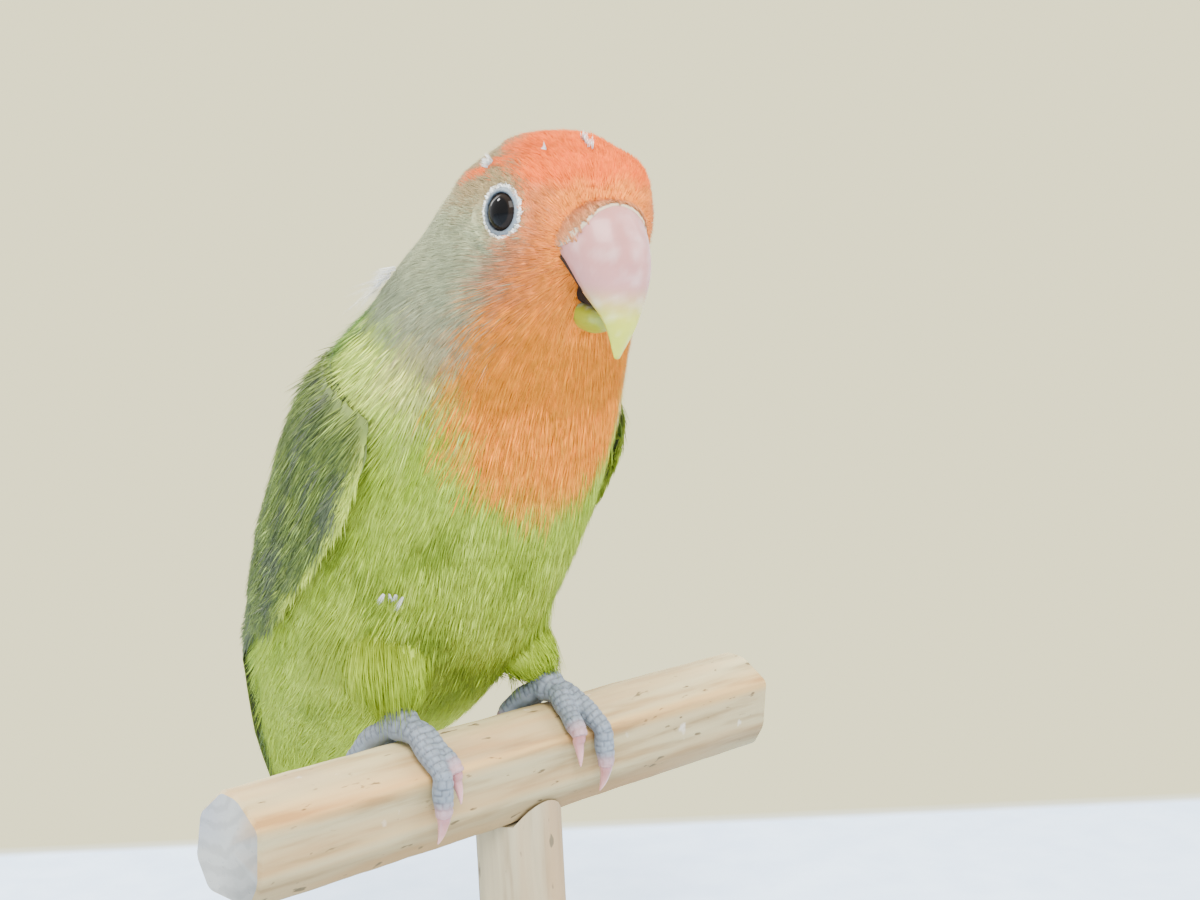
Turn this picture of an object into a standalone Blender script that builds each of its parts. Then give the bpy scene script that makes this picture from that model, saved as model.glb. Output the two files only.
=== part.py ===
"""A peach-faced lovebird at life size, perched on a cut length of wooden bar that a plain stand holds up.

Sizes are in millimetres and become metres when a mesh is made. The origin is the middle of the base's
underside, +Z is up, the bar runs along X and the bird faces -Y, with its right side towards -X.
"""

import math
import random

import bmesh
import bpy
import numpy as np
from mathutils import Matrix, Vector

MM = 0.001
GAP = 0.3
SEED = 7

# Stand and perch
BASE_RADIUS = 46.0
BASE_THICK = 7.0
BASE_EDGE = 1.5
TAIL_DROP = 29.0
TAIL_CLEARANCE = 8.5
POST_RADIUS = 6.5
BAR_LENGTH = 101.0
BAR_SHIFT = 0.4
BAR_HEIGHT = BASE_THICK + TAIL_CLEARANCE + TAIL_DROP
BAR_END_BEVEL = 0.5
# Corners of the hand-planed bar: degrees from straight up towards the front, and distance from its axis
BAR_CORNERS = ((-8, 7.9), (-60, 7.7), (-108, 9.0), (-140, 9.2), (-208, 8.8), (-238, 7.8), (-295, 8.4), (-340, 7.8))

# Where the bird sits: its middle along the bar, and how far it is turned towards its own right
BIRD_X = -6.6
BIRD_YAW = math.radians(7.0)

# Body sections from behind the vent to the crown. Each has its place behind and above the bar's axis, its
# forward lean in degrees, its half width, its half depth in front and behind, and how square it is: 2 is round.
SECTIONS = (
    ("wing_tips", 53.0, -21.0, 20, 6.2, 4.5, 5.2, 2.0),
    ("tail_middle", 49.2, -11.0, 26, 8.2, 5.5, 6.8, 2.0),
    ("tail_coverts", 46.6, -3.0, 36, 10.8, 8.6, 8.4, 2.0),
    ("vent", 41.4, 5.0, 46, 14.0, 13.0, 10.0, 2.0),
    ("rump", 34.0, 12.0, 43, 17.5, 17.6, 13.5, 2.0),
    ("lower_belly", 23.8, 20.5, 37, 20.2, 20.4, 16.5, 2.0),
    ("belly", 16.3, 28.5, 31, 21.6, 21.8, 18.5, 2.0),
    ("lower_breast", 8.3, 38.5, 28, 22.0, 22.2, 19.3, 2.0),
    ("breast", 1.2, 49.0, 31, 21.8, 22.2, 18.8, 2.0),
    ("shoulders", -7.0, 60.0, 33, 20.2, 20.4, 17.0, 2.0),
    ("neck", -13.5, 68.5, 29, 17.6, 17.8, 15.0, 2.05),
    ("jaw", -19.5, 75.5, 17, 15.0, 15.0, 13.0, 2.25),
    ("eyes", -23.7, 81.5, 6, 12.5, 13.2, 12.2, 2.85),
    ("forehead", -24.8, 85.8, 0, 10.9, 11.6, 10.4, 2.4),
    ("crown", -25.0, 88.6, 0, 6.9, 7.2, 6.6, 2.2),
)
ROUND = 26


def smooth(keys, values, at):
    """The value at a key on a smooth curve through the given ones."""
    keys = np.asarray(keys, float)
    values = np.asarray(values, float)
    slopes = np.gradient(values, keys)
    at = min(max(at, keys[0]), keys[-1])
    i = min(int(np.searchsorted(keys, at, "right")) - 1, len(keys) - 2)
    step = keys[i + 1] - keys[i]
    u = (at - keys[i]) / step
    start = (2 * u**3 - 3 * u**2 + 1) * values[i] + (u**3 - 2 * u**2 + u) * step * slopes[i]
    end = (3 * u**2 - 2 * u**3) * values[i + 1] + (u**3 - u**2) * step * slopes[i + 1]
    return float(start + end)


def spine_keys():
    """Distance of each section along the spine, in mm, from the vent upwards."""
    keys = [0.0]
    for low, high in zip(SECTIONS, SECTIONS[1:]):
        keys.append(keys[-1] + math.hypot(high[1] - low[1], high[2] - low[2]))
    zero = keys[[s[0] for s in SECTIONS].index("vent")]
    return [k - zero for k in keys]


SPINE = spine_keys()
COLUMNS = list(zip(*SECTIONS))[1:]


def along(name):
    return SPINE[[s[0] for s in SECTIONS].index(name)]


def section(t):
    return [smooth(SPINE, column, t) for column in COLUMNS]


def world(right, forward, up):
    """A point given on the bird's own axes, from the bar's axis under it."""
    c = math.cos(BIRD_YAW)
    s = math.sin(BIRD_YAW)
    return Vector((BIRD_X - right * c - forward * s, right * s - forward * c, BAR_HEIGHT + up))


def body_point(t, angle, out=0.0):
    """A point on the body: angle 0 is the front, 90 the bird's right, 180 the back."""
    back, up, lean, half, front, rear, square = section(t)
    c = math.cos(math.radians(angle))
    s = math.sin(math.radians(angle))
    depth = (front if c > 0 else rear) + out
    ahead = depth * math.copysign(abs(c) ** (2 / square), c)
    across = math.copysign(abs(s) ** (2 / square), s)
    tilt = math.radians(lean)
    return world((half + out) * across, -back + ahead * math.cos(tilt), up - ahead * math.sin(tilt))


def new_object(name, points, faces, material=None):
    mesh = bpy.data.meshes.new(name)
    mesh.from_pydata([tuple(p * MM) for p in points], [], faces)
    mesh.update()
    obj = bpy.data.objects.new(name, mesh)
    PARTS.objects.link(obj)
    if material:
        mesh.materials.append(material)
    return obj


def ring_faces(first, second, count):
    return [
        (first + i, first + (i + 1) % count, second + (i + 1) % count, second + i) for i in range(count)
    ]


def loft(name, rings, material=None):
    """A closed skin through rings of equal count, each end closed flat. Rings turn left as they go on."""
    count = len(rings[0])
    points = [p for ring in rings for p in ring]
    faces = []
    for r in range(len(rings) - 1):
        faces += ring_faces(r * count, (r + 1) * count, count)
    faces.append(tuple(reversed(range(count))))
    last = (len(rings) - 1) * count
    faces.append(tuple(last + i for i in range(count)))
    obj = new_object(name, points, faces, material)
    face_out(obj)
    return obj


def face_out(obj):
    shape = bmesh.new()
    shape.from_mesh(obj.data)
    bmesh.ops.recalc_face_normals(shape, faces=shape.faces)
    if shape.calc_volume(signed=True) < 0:
        bmesh.ops.reverse_faces(shape, faces=shape.faces)
    shape.to_mesh(obj.data)
    shape.free()


def settle(obj):
    """Applies the object's modifiers to its mesh and keeps its largest closed surface."""
    bpy.context.view_layer.update()
    graph = bpy.context.evaluated_depsgraph_get()
    made = bpy.data.meshes.new_from_object(obj.evaluated_get(graph))
    obj.modifiers.clear()
    obj.data = made
    shape = bmesh.new()
    shape.from_mesh(made)
    seen = set()
    best = (0.0, None)
    for start in shape.faces:
        if start in seen:
            continue
        island = [start]
        seen.add(start)
        for face in island:
            for edge in face.edges:
                for other in edge.link_faces:
                    if other not in seen:
                        seen.add(other)
                        island.append(other)
        size = sum(f.calc_area() for f in island)
        if size > best[0]:
            best = (size, island)
    keep = set(best[1])
    bmesh.ops.delete(shape, geom=[f for f in shape.faces if f not in keep], context="FACES")
    shape.to_mesh(made)
    shape.free()


def join(obj, pieces, solver="MANIFOLD"):
    """Fuses the pieces into the object with one union and removes them."""
    group = bpy.data.collections.new("joining")
    bpy.context.scene.collection.children.link(group)
    for piece in pieces:
        PARTS.objects.unlink(piece)
        group.objects.link(piece)
    union = obj.modifiers.new("Union", "BOOLEAN")
    union.operation = "UNION"
    union.operand_type = "COLLECTION"
    union.collection = group
    union.solver = solver
    settle(obj)
    for piece in pieces:
        bpy.data.objects.remove(piece)
    bpy.data.collections.remove(group)


def cut(obj, tool, solver="MANIFOLD"):
    """Takes the tool's shape out of the object and removes the tool."""
    bite = obj.modifiers.new("Cut", "BOOLEAN")
    bite.operation = "DIFFERENCE"
    bite.object = tool
    bite.solver = solver
    settle(obj)
    bpy.data.objects.remove(tool)


def principled(name, colour, roughness, metallic=0.0):
    material = bpy.data.materials.new(name)
    material.use_nodes = True
    shader = material.node_tree.nodes["Principled BSDF"]
    shader.inputs["Base Color"].default_value = (*colour, 1.0)
    shader.inputs["Roughness"].default_value = roughness
    shader.inputs["Metallic"].default_value = metallic
    material.diffuse_color = (*colour, 1.0)
    return material


def body_part(name, low, high, rings, material):
    levels = [low + (high - low) * i / (rings - 1) for i in range(rings)]
    circles = [[body_point(t, 360 * i / ROUND) for i in range(ROUND)] for t in levels]
    return loft(name, circles, material)


def body_core(name, low, high, rings, out):
    """The body's shape made larger by a margin, for cutting what stands on it."""
    levels = [low + (high - low) * i / (rings - 1) for i in range(rings)]
    circles = [[body_point(t, 360 * i / ROUND, out) for i in range(ROUND)] for t in levels]
    return loft(name, circles)


# Bar and toes: the bar's outline and the line that keeps a given distance off it

def bar_corners():
    return [(radius * math.sin(math.radians(turn)), radius * math.cos(math.radians(turn)))
            for turn, radius in BAR_CORNERS]


def off_the_bar(ahead, up):
    """Distance of a point outside the bar's outline, given in front of and above the bar's axis."""
    corners = bar_corners()
    nearest = 1e9
    for (x0, y0), (x1, y1) in zip(corners, corners[1:] + corners[:1]):
        length2 = (x1 - x0) ** 2 + (y1 - y0) ** 2
        u = min(max(((ahead - x0) * (x1 - x0) + (up - y0) * (y1 - y0)) / length2, 0.0), 1.0)
        nearest = min(nearest, math.hypot(ahead - x0 - u * (x1 - x0), up - y0 - u * (y1 - y0)))
    return nearest


def round_bar(turn, distance):
    """The point at this many degrees from the top towards the front that keeps this distance off the bar."""
    s = math.sin(math.radians(turn))
    c = math.cos(math.radians(turn))
    low = 9.3
    high = 30.0
    for _ in range(40):
        middle = (low + high) / 2
        if off_the_bar(middle * s, middle * c) < distance:
            low = middle
        else:
            high = middle
    return middle * s, middle * c


def bar_solid(name, length, out=0.0, material=None):
    rings = []
    for x in (-length / 2, length / 2):
        ring = []
        for ahead, up in bar_corners():
            size = math.hypot(ahead, up)
            grow = (size + out) / size
            ring.append(Vector((x + BAR_SHIFT, -ahead * grow, BAR_HEIGHT + up * grow)))
        rings.append(ring)
    return loft(name, rings, material)


def make_stand():
    wood = principled("perch_wood", (0.75, 0.58, 0.38), 0.6)
    post_wood = principled("post_wood", (0.62, 0.52, 0.38), 0.6)
    base_paint = principled("base_paint", (0.72, 0.70, 0.66), 0.5)
    bar = bar_solid("perch", BAR_LENGTH, 0.0, wood)
    edge = bar.modifiers.new("Worn corners", "BEVEL")
    edge.width = BAR_END_BEVEL * MM
    edge.segments = 1
    edge.limit_method = "ANGLE"
    edge.angle_limit = math.radians(60)
    bpy.ops.mesh.primitive_cylinder_add(
        vertices=40, radius=POST_RADIUS * MM, depth=(BAR_HEIGHT - BASE_THICK - GAP) * MM,
        location=(0, 0, (BAR_HEIGHT + BASE_THICK + GAP) / 2 * MM),
    )
    post = adopt("stand_post", post_wood)
    cut(post, bar_solid("bar_cutter", 3 * POST_RADIUS, GAP))
    bpy.ops.mesh.primitive_cylinder_add(
        vertices=56, radius=BASE_RADIUS * MM, depth=BASE_THICK * MM, location=(0, 0, BASE_THICK / 2 * MM)
    )
    base = adopt("stand_base", base_paint)
    edge = base.modifiers.new("Rounded top edge", "BEVEL")
    edge.width = BASE_EDGE * MM
    edge.segments = 2
    edge.limit_method = "ANGLE"


def adopt(name, material):
    """Names the primitive that was just added and moves it to the object's collection, with its place in its mesh."""
    obj = bpy.context.object
    obj.name = name
    obj.data.name = name
    for group in list(obj.users_collection):
        group.objects.unlink(obj)
    PARTS.objects.link(obj)
    obj.data.transform(obj.matrix_world)
    obj.matrix_world = Matrix.Identity(4)
    obj.data.materials.append(material)
    return obj


# Head

HEAD_BACK = 21.5
EYE_SIDE = 9.4
EYE_FORWARD = 8.1
EYE_UP = 79.5
EYE_RADIUS = 3.0
LID_RADIUS = 3.0
LID_THICK = 0.6
LID_PROUD = 1.45
EYE_TURN = 9.0
CUT_NECK = along("shoulders") + 6.0
CUT_HEAD = along("neck") + 6.5


def on_head(side, forward, up):
    """A point by its distance to the side of and ahead of the head's own middle."""
    return world(side, HEAD_BACK + forward, up)


def ball(name, centre, radius, across=16, rings=8):
    bpy.ops.mesh.primitive_uv_sphere_add(
        segments=across, ring_count=rings, radius=radius * MM, location=centre * MM
    )
    return adopt(name, MATERIALS["helper"])


def eye_axis(side):
    turn = math.radians(EYE_TURN)
    outward = world(side * math.cos(turn), math.sin(turn), 0.06) - world(0, 0, 0)
    return outward.normalized()


def make_head():
    head = body_part("head", CUT_HEAD + GAP, SPINE[-1], 11, MATERIALS["face_feathers"])
    top = section(SPINE[-1])
    cap = [[body_point(SPINE[-1] - 0.4, 360 * i / ROUND, -0.4) for i in range(ROUND)]]
    cap.append([world(0.55 * math.sin(2 * math.pi * i / ROUND) * top[3],
                      -top[0] + 0.55 * math.cos(2 * math.pi * i / ROUND) * top[4], top[1] + 0.9)
                for i in range(ROUND)])
    crown = loft("crown_cap", cap)
    lids = []
    sockets = []
    for side, label in ((1, "right"), (-1, "left")):
        centre = on_head(side * EYE_SIDE, EYE_FORWARD, EYE_UP)
        axis = eye_axis(side)
        place = Matrix.Translation((centre + axis * LID_PROUD) * MM) @ axis.to_track_quat("Z", "Y").to_matrix().to_4x4()
        bpy.ops.mesh.primitive_torus_add(
            major_segments=18, minor_segments=5, major_radius=LID_RADIUS * MM, minor_radius=LID_THICK * MM
        )
        bpy.context.object.matrix_world = place
        bpy.context.view_layer.update()
        lids.append(adopt("lids_" + label, MATERIALS["helper"]))
        bpy.ops.mesh.primitive_cylinder_add(
            vertices=18, radius=LID_RADIUS * MM, depth=2.6 * MM,
            location=(centre + axis * (LID_PROUD - 1.3)) * MM,
            rotation=axis.to_track_quat("Z", "Y").to_euler(),
        )
        bpy.context.view_layer.update()
        lids.append(adopt("lid_root_" + label, MATERIALS["helper"]))
        sockets.append(ball("socket_" + label, centre, EYE_RADIUS + GAP))
        eye = ball("eye_" + label, centre, EYE_RADIUS)
        eye.data.materials.clear()
        eye.data.materials.append(MATERIALS["eye"])
    join(head, [crown] + lids)
    for socket in sockets:
        cut(head, socket)
    return head


# Bill: the ridge and the cutting edge as curves seen from the side, forward of the head's middle and above the bar

RIDGE = ((12.5, 79.8), (17.2, 79.2), (19.4, 73.0), (17.2, 65.0), (14.9, 60.3))
EDGE = ((6.0, 75.5), (10.5, 73.0), (13.4, 68.6), (14.4, 64.5), (14.7, 60.5))
BILL_HALF = (6.3, 6.2, 5.3, 3.4, 0.45)
CERE_SHARE = 0.22
LOWER_RIDGE = ((6.0, 64.0), (10.4, 62.6), (13.8, 63.9), (14.9, 66.0))
LOWER_EDGE = ((6.0, 71.0), (10.2, 69.2), (13.2, 67.6), (15.0, 66.5))
LOWER_HALF = (4.0, 3.9, 3.0, 1.1)


def curve_at(points, u):
    keys = [i / (len(points) - 1) for i in range(len(points))]
    if isinstance(points[0], tuple):
        return tuple(smooth(keys, [p[axis] for p in points], u) for axis in (0, 1))
    return smooth(keys, points, u)


def bill_ring(ridge, edge, half, u, out, sides=12):
    """A closed ring: round over the ridge, full at the sides and flat across the cutting edges."""
    top = curve_at(ridge, u)
    low = curve_at(edge, u)
    width = max(curve_at(half, u), 0.3) + out
    length = math.hypot(top[0] - low[0], top[1] - low[1])
    axis = ((top[0] - low[0]) / length, (top[1] - low[1]) / length)
    ring = []
    for i in range(sides):
        turn = 2 * math.pi * (i + 0.5) / sides
        across = math.sin(turn)
        rise = math.cos(turn)
        share = 0.5 + 0.5 * rise
        if rise < 0:
            across = math.copysign(abs(across) ** 0.6, across)
        reach = share * (length + 2 * out) - out
        ring.append(on_head(across * width, low[0] + axis[0] * reach, low[1] + axis[1] * reach))
    return ring


def bill_piece(name, ridge, edge, half, low, high, rings, out, material):
    levels = [low + (high - low) * i / (rings - 1) for i in range(rings)]
    return loft(name, [bill_ring(ridge, edge, half, u, out) for u in levels], material)


def head_cutter():
    return body_core("head_cutter", CUT_HEAD - 6, SPINE[-1], 14, GAP)


def make_bill():
    horn = MATERIALS["bill"]
    cere = bill_piece("cere", RIDGE, EDGE, BILL_HALF, 0.0, CERE_SHARE, 4, 0.35, MATERIALS["cere"])
    cut(cere, head_cutter())
    for side in (1, -1):
        hole = ball("nostril", on_head(side * 3.4, 15.6, 81.2), 0.8, 10, 6)
        cut(cere, hole)
    upper = bill_piece("bill_upper", RIDGE, EDGE, BILL_HALF, CERE_SHARE + 0.018, 1.0, 12, 0.0, horn)
    cut(upper, head_cutter())
    lower = bill_piece("bill_lower", LOWER_RIDGE, LOWER_EDGE, LOWER_HALF, 0.0, 1.0, 8, 0.0, horn)
    cut(lower, head_cutter())
    cut(lower, bill_piece("bill_cutter", RIDGE, EDGE, BILL_HALF, 0.0, 1.0, 14, GAP, horn))
    return cere, upper, lower


# Legs, feet and claws

FOOT_X = {"right": -20.8, "left": 7.7}
# Each toe: its end and the tip of its claw in degrees round the bar, towards the front
TOES = {1: (-64, -90), 2: (66, 92), 3: (99, 126), 4: (-84, -110)}
# How far each toe's end lies along the bar from the foot's middle, outwards from the bird
TOE_REACH = {
    "right": {1: -2.8, 2: -2.2, 3: 0.9, 4: 2.8},
    "left": {1: -2.8, 2: -3.1, 3: 2.3, 4: 2.8},
}
TOE_RADIUS = 1.85
TOE_END_RADIUS = 1.3
CLAW_RADIUS = 0.8
TOE_SIDES = 7
TOE_RINGS = 7
CLAW_RINGS = 5
PAD_RADIUS = 2.6
KNEE_INWARD = 0.7
KNEE_BACK = 8.0
KNEE_HEIGHT = 25.0
SHIN_SHARE = 0.1
SHIN_RADII = (2.0, 1.9)
# Feathered thigh: share of the way from the bare shin to the knee, and its radius there
THIGH = ((0, 3.4), (0.12, 4.6), (0.3, 5.6), (0.6, 6.4), (0.85, 6.0), (1, 4.0))
CLAW_GAP_TURN = 3.6


def tube(name, path, radii, material, sides=TOE_SIDES):
    """A closed tube of changing radius along a path, its rings square to the path."""
    rings = []
    for i, point in enumerate(path):
        ahead = path[min(i + 1, len(path) - 1)] - path[max(i - 1, 0)]
        ahead.normalize()
        side = ahead.cross(Vector((1, 0, 0)))
        if side.length < 0.1:
            side = ahead.cross(Vector((0, 1, 0)))
        side.normalize()
        other = ahead.cross(side)
        rings.append([
            point + (side * math.cos(2 * math.pi * k / sides) + other * math.sin(2 * math.pi * k / sides)) * radii[i]
            for k in range(sides)
        ])
    return loft(name, rings, material)


def toe_path(foot_x, outward, reach, start, end, radius, count):
    path = []
    for i in range(count):
        u = i / (count - 1)
        turn = start + (end - start) * u
        ahead, up = round_bar(turn, radius[0] + (radius[1] - radius[0]) * u + GAP)
        spread = math.sin(min(abs(turn) / 100, 1.0) * math.pi / 2)
        path.append(Vector((foot_x + outward * reach * spread, -ahead, BAR_HEIGHT + up)))
    return path


def make_leg(label):
    outward = -1 if label == "right" else 1
    foot_x = FOOT_X[label]
    skin = MATERIALS["foot_skin"]
    toes = []
    for number, (end, tip) in TOES.items():
        reach = TOE_REACH[label][number]
        start = math.copysign(4, end)
        path = toe_path(foot_x, outward, reach, start, end, (TOE_RADIUS, TOE_END_RADIUS), TOE_RINGS)
        shrink = (TOE_END_RADIUS - TOE_RADIUS) / (TOE_RINGS - 1)
        toes.append(tube("toe", path, [TOE_RADIUS + shrink * i for i in range(TOE_RINGS)], skin))
        first = end + math.copysign(CLAW_GAP_TURN, end)
        claw = toe_path(foot_x, outward, reach, first, tip, (CLAW_RADIUS + 0.25, 0.2), CLAW_RINGS)
        widths = [CLAW_RADIUS * (1 - (i / (CLAW_RINGS - 1)) ** 1.4) + 0.16 for i in range(CLAW_RINGS)]
        tube("claw_%s_%d" % (label, number), claw, widths, MATERIALS["claw"], 6)
    pad_at = Vector((foot_x, 0, BAR_HEIGHT + round_bar(0, PAD_RADIUS - 0.4 + GAP)[1]))
    pad = ball("foot_" + label, pad_at, PAD_RADIUS, 12, 8)
    pad.data.materials.clear()
    pad.data.materials.append(skin)
    knee = Vector((BIRD_X + (foot_x - BIRD_X) * KNEE_INWARD, KNEE_BACK, BAR_HEIGHT + KNEE_HEIGHT))
    ankle = pad_at + Vector((0, 0.8, 0.9))
    shin = tube("shin", [ankle, ankle.lerp(knee, SHIN_SHARE)], SHIN_RADII, skin, 10)
    join(pad, toes + [shin])
    cut(pad, bar_solid("bar_cutter", BAR_LENGTH, GAP * 0.9))
    low = ankle.lerp(knee, SHIN_SHARE) + (knee - ankle).normalized() * GAP
    shares, radii = zip(*THIGH)
    leg = tube("leg_" + label, [low.lerp(knee, share) for share in shares], radii, MATERIALS["leg_feathers"], 16)
    cut(leg, body_core("torso_cutter", SPINE[1], CUT_NECK, 18, GAP))


# Flight feathers and coverts: how far down the feather each row is, and its share of the full width

LONG_ROWS = ((0.0, 0.6), (0.22, 0.85), (0.44, 1.0), (0.66, 1.0), (0.86, 0.8), (1.0, 0.2))
VANE_ROWS = ((0.0, 0.6), (0.42, 1.0), (0.8, 0.9), (1.0, 0.22))
SHORT_ROWS = ((0.0, 0.75), (0.6, 1.0), (1.0, 0.35))
VANE_THICK = 0.6
VANE_EDGE = 0.35
COVERT_THICK = 0.9
VANE_ARCH = 0.15
VANE_BOW = 0.5


def vane(place, rows):
    """A thin feather. place(v, s, out) is a point v of the way to the tip, s across it from -1 to 1, and out proud.

    Both faces are split into triangles the same way, so that they never cross."""
    edge = VANE_EDGE / 2
    if rows is SHORT_ROWS:
        rim = ((-1, 0), (0, COVERT_THICK / 2), (1, 0), (0, -COVERT_THICK / 2))
    else:
        rim = ((-1, edge), (0, VANE_THICK / 2), (1, edge), (1, -edge), (0, -VANE_THICK / 2), (-1, -edge))
    count = len(rim)
    points = [place(v, s * width, out + VANE_ARCH * (1 - s * s)) for v, width in rows for s, out in rim]
    faces = []
    for r in range(len(rows) - 1):
        a = r * count
        b = a + count
        for k in range(count):
            n = (k + 1) % count
            if k < count / 2:
                faces += [(a + k, a + n, b + n), (a + k, b + n, b + k)]
            else:
                faces += [(a + k, a + n, b + k), (a + n, b + n, b + k)]
    faces.append(tuple(reversed(range(count))))
    faces.append(tuple(len(points) - count + i for i in range(count)))
    obj = new_object("feather", points, faces)
    face_out(obj)
    return obj


# Tiers of the folded wing, from the flight feathers up to the shoulder. For its front and its back feather,
# each tier has where the feathers start and end: the level along the body and the angle round it. Then come
# the width, how proud the feathers are at the root and the tip, how much each leans, and the rows of a feather.
WING_TIERS = (
    ("primaries", 7, (34, 94, -25, 152), (34, 120, 6, 164), 5.6, (0.9, 1.7), 0.3, LONG_ROWS),
    ("secondaries", 6, (46, 82, 29, 94), (44, 142, 8, 160), 7.0, (1.1, 1.9), 0.45, VANE_ROWS),
    ("greater_coverts", 7, (57, 74, 40, 82), (54, 140, 25, 148), 6.6, (1.3, 2.5), 0.45, SHORT_ROWS),
    ("median_coverts", 6, (64, 71, 51, 74), (61, 138, 40, 144), 7.4, (1.3, 2.7), 0.45, SHORT_ROWS),
    ("lesser_coverts", 5, (69, 77, 61, 74), (68, 134, 53, 140), 8.4, (1.0, 2.4), 0.45, SHORT_ROWS),
    ("scapulars", 4, (65, 150, 30, 152), (67, 168, 38, 167), 6.4, (1.0, 3.0), 0.4, VANE_ROWS),
)
LAST_ANGLE = 174.0
# How many degrees further round the body each wing lies
WING_TURN = {"right": 0.0, "left": 5.0}
# The wing's own arm and hand under the feathers: share of its length, with the angles of its front and back
WING_CORE = ((0.0, 80, 150), (0.25, 72, 162), (0.5, 77, 166), (0.8, 89, 164), (1.0, 100, 158))
CORE_TOP = 70.0
CORE_END = 24.0
CORE_IN = 0.5
CORE_EDGE = 0.4
CORE_THICK = 1.5
CORE_ROWS = 8
CORE_COLUMNS = 7


def wing_angle(label, angle):
    return math.copysign(min(angle + WING_TURN[label], LAST_ANGLE), 1 if label == "right" else -1)


def wing_core(label):
    """The closed plate that the wing's feathers grow from."""
    keys, fronts, backs = zip(*WING_CORE)
    size = CORE_ROWS * CORE_COLUMNS
    points = []
    for outer in (0, 1):
        for r in range(CORE_ROWS):
            v = r / (CORE_ROWS - 1)
            t = CORE_TOP + (CORE_END - CORE_TOP) * v
            front = smooth(keys, fronts, v)
            back = smooth(keys, backs, v)
            for c in range(CORE_COLUMNS):
                u = c / (CORE_COLUMNS - 1)
                inside = math.sin(math.pi * u) * math.sin(math.pi * (0.08 + 0.84 * v))
                lift = CORE_IN + outer * (CORE_EDGE + (CORE_THICK - CORE_EDGE) * math.sqrt(inside))
                points.append(body_point(t, wing_angle(label, front + (back - front) * u), lift))
    faces = []
    for r in range(CORE_ROWS - 1):
        for c in range(CORE_COLUMNS - 1):
            a = r * CORE_COLUMNS + c
            b = a + 1
            d = b + CORE_COLUMNS
            e = a + CORE_COLUMNS
            faces += [(a, b, d), (a, d, e), (size + a, size + d, size + b), (size + a, size + e, size + d)]
    rim = list(range(CORE_COLUMNS))
    rim += [r * CORE_COLUMNS + CORE_COLUMNS - 1 for r in range(1, CORE_ROWS)]
    rim += [(CORE_ROWS - 1) * CORE_COLUMNS + c for c in range(CORE_COLUMNS - 2, -1, -1)]
    rim += [r * CORE_COLUMNS for r in range(CORE_ROWS - 2, 0, -1)]
    for a, b in zip(rim, rim[1:] + rim[:1]):
        faces += [(a, size + a, size + b), (a, size + b, b)]
    core = new_object("wing_" + label, points, faces, MATERIALS["wing_feathers"])
    face_out(core)
    return core


def wing_feather(label, tier, share):
    first, last, width, proud, lean, rows = tier[2:]
    root_t, root_angle, tip_t, tip_angle = (a + (b - a) * share for a, b in zip(first, last))
    tip_t += random.uniform(-1.0, 1.0)
    tip_angle += random.uniform(-0.8, 0.8)

    def place(v, s, out):
        t = root_t + (tip_t - root_t) * v
        reach = (section(t)[3] + section(t)[5]) / 2
        angle = root_angle + (tip_angle - root_angle) * v + math.degrees(s * width / 2 / reach)
        lift = proud[0] + (proud[1] - proud[0]) * v + VANE_BOW * math.sin(math.pi * v) + out - lean * s
        return body_point(t, wing_angle(label, angle), max(lift, CORE_IN))

    return vane(place, rows)


def make_wing(label):
    """The folded wing: tiers of overlapping feathers on the arm and hand."""
    core = wing_core(label)
    feathers = []
    for tier in WING_TIERS:
        feathers += [wing_feather(label, tier, i / (tier[1] - 1)) for i in range(tier[1])]
    join(core, feathers)


# Tail: its lean in degrees from straight down, the sizes of its feathers, and its root under the coverts as
# distance down it, half width, and depth below and above

TAIL_LEAN = 21.0
TAIL_START = -3.0
RECTRIX_ROOT = 10.0
RECTRIX_LENGTH = 24.0
RECTRIX_WIDTH = 5.2
OUTER_SHORTER = 3.5
TAIL_FEATHERS = 12
TAIL_ROOT_HALF = 2.4
TAIL_HALF = 5.2
COVERT_COUNT = 5
TAIL_ROOT = ((8, 8.2, 6.2, 4.6), (13, 6.6, 4.0, 2.8), (18, 5.0, 2.0, 1.6), (22, 3.4, 0.8, 0.7))


def tail_point(side, reach, above):
    """A point by its place across, down and above the tail."""
    back, up = section(TAIL_START)[:2]
    turn = math.radians(TAIL_LEAN)
    forward = -back - reach * math.sin(turn) - above * math.cos(turn)
    return world(side, forward, up - reach * math.cos(turn) + above * math.sin(turn))


def tail_feather(start, length, width, root_side, tip_side, height, lean, rows):
    def place(v, s, out):
        side = root_side + (tip_side - root_side) * v + s * width / 2
        return tail_point(side, start + length * v, height[0] + (height[1] - height[0]) * v + out - lean * s)

    return vane(place, rows)


def fan(count):
    """Places across a fan, from -1 to 1."""
    return [2 * i / (count - 1) - 1 for i in range(count)]


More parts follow.
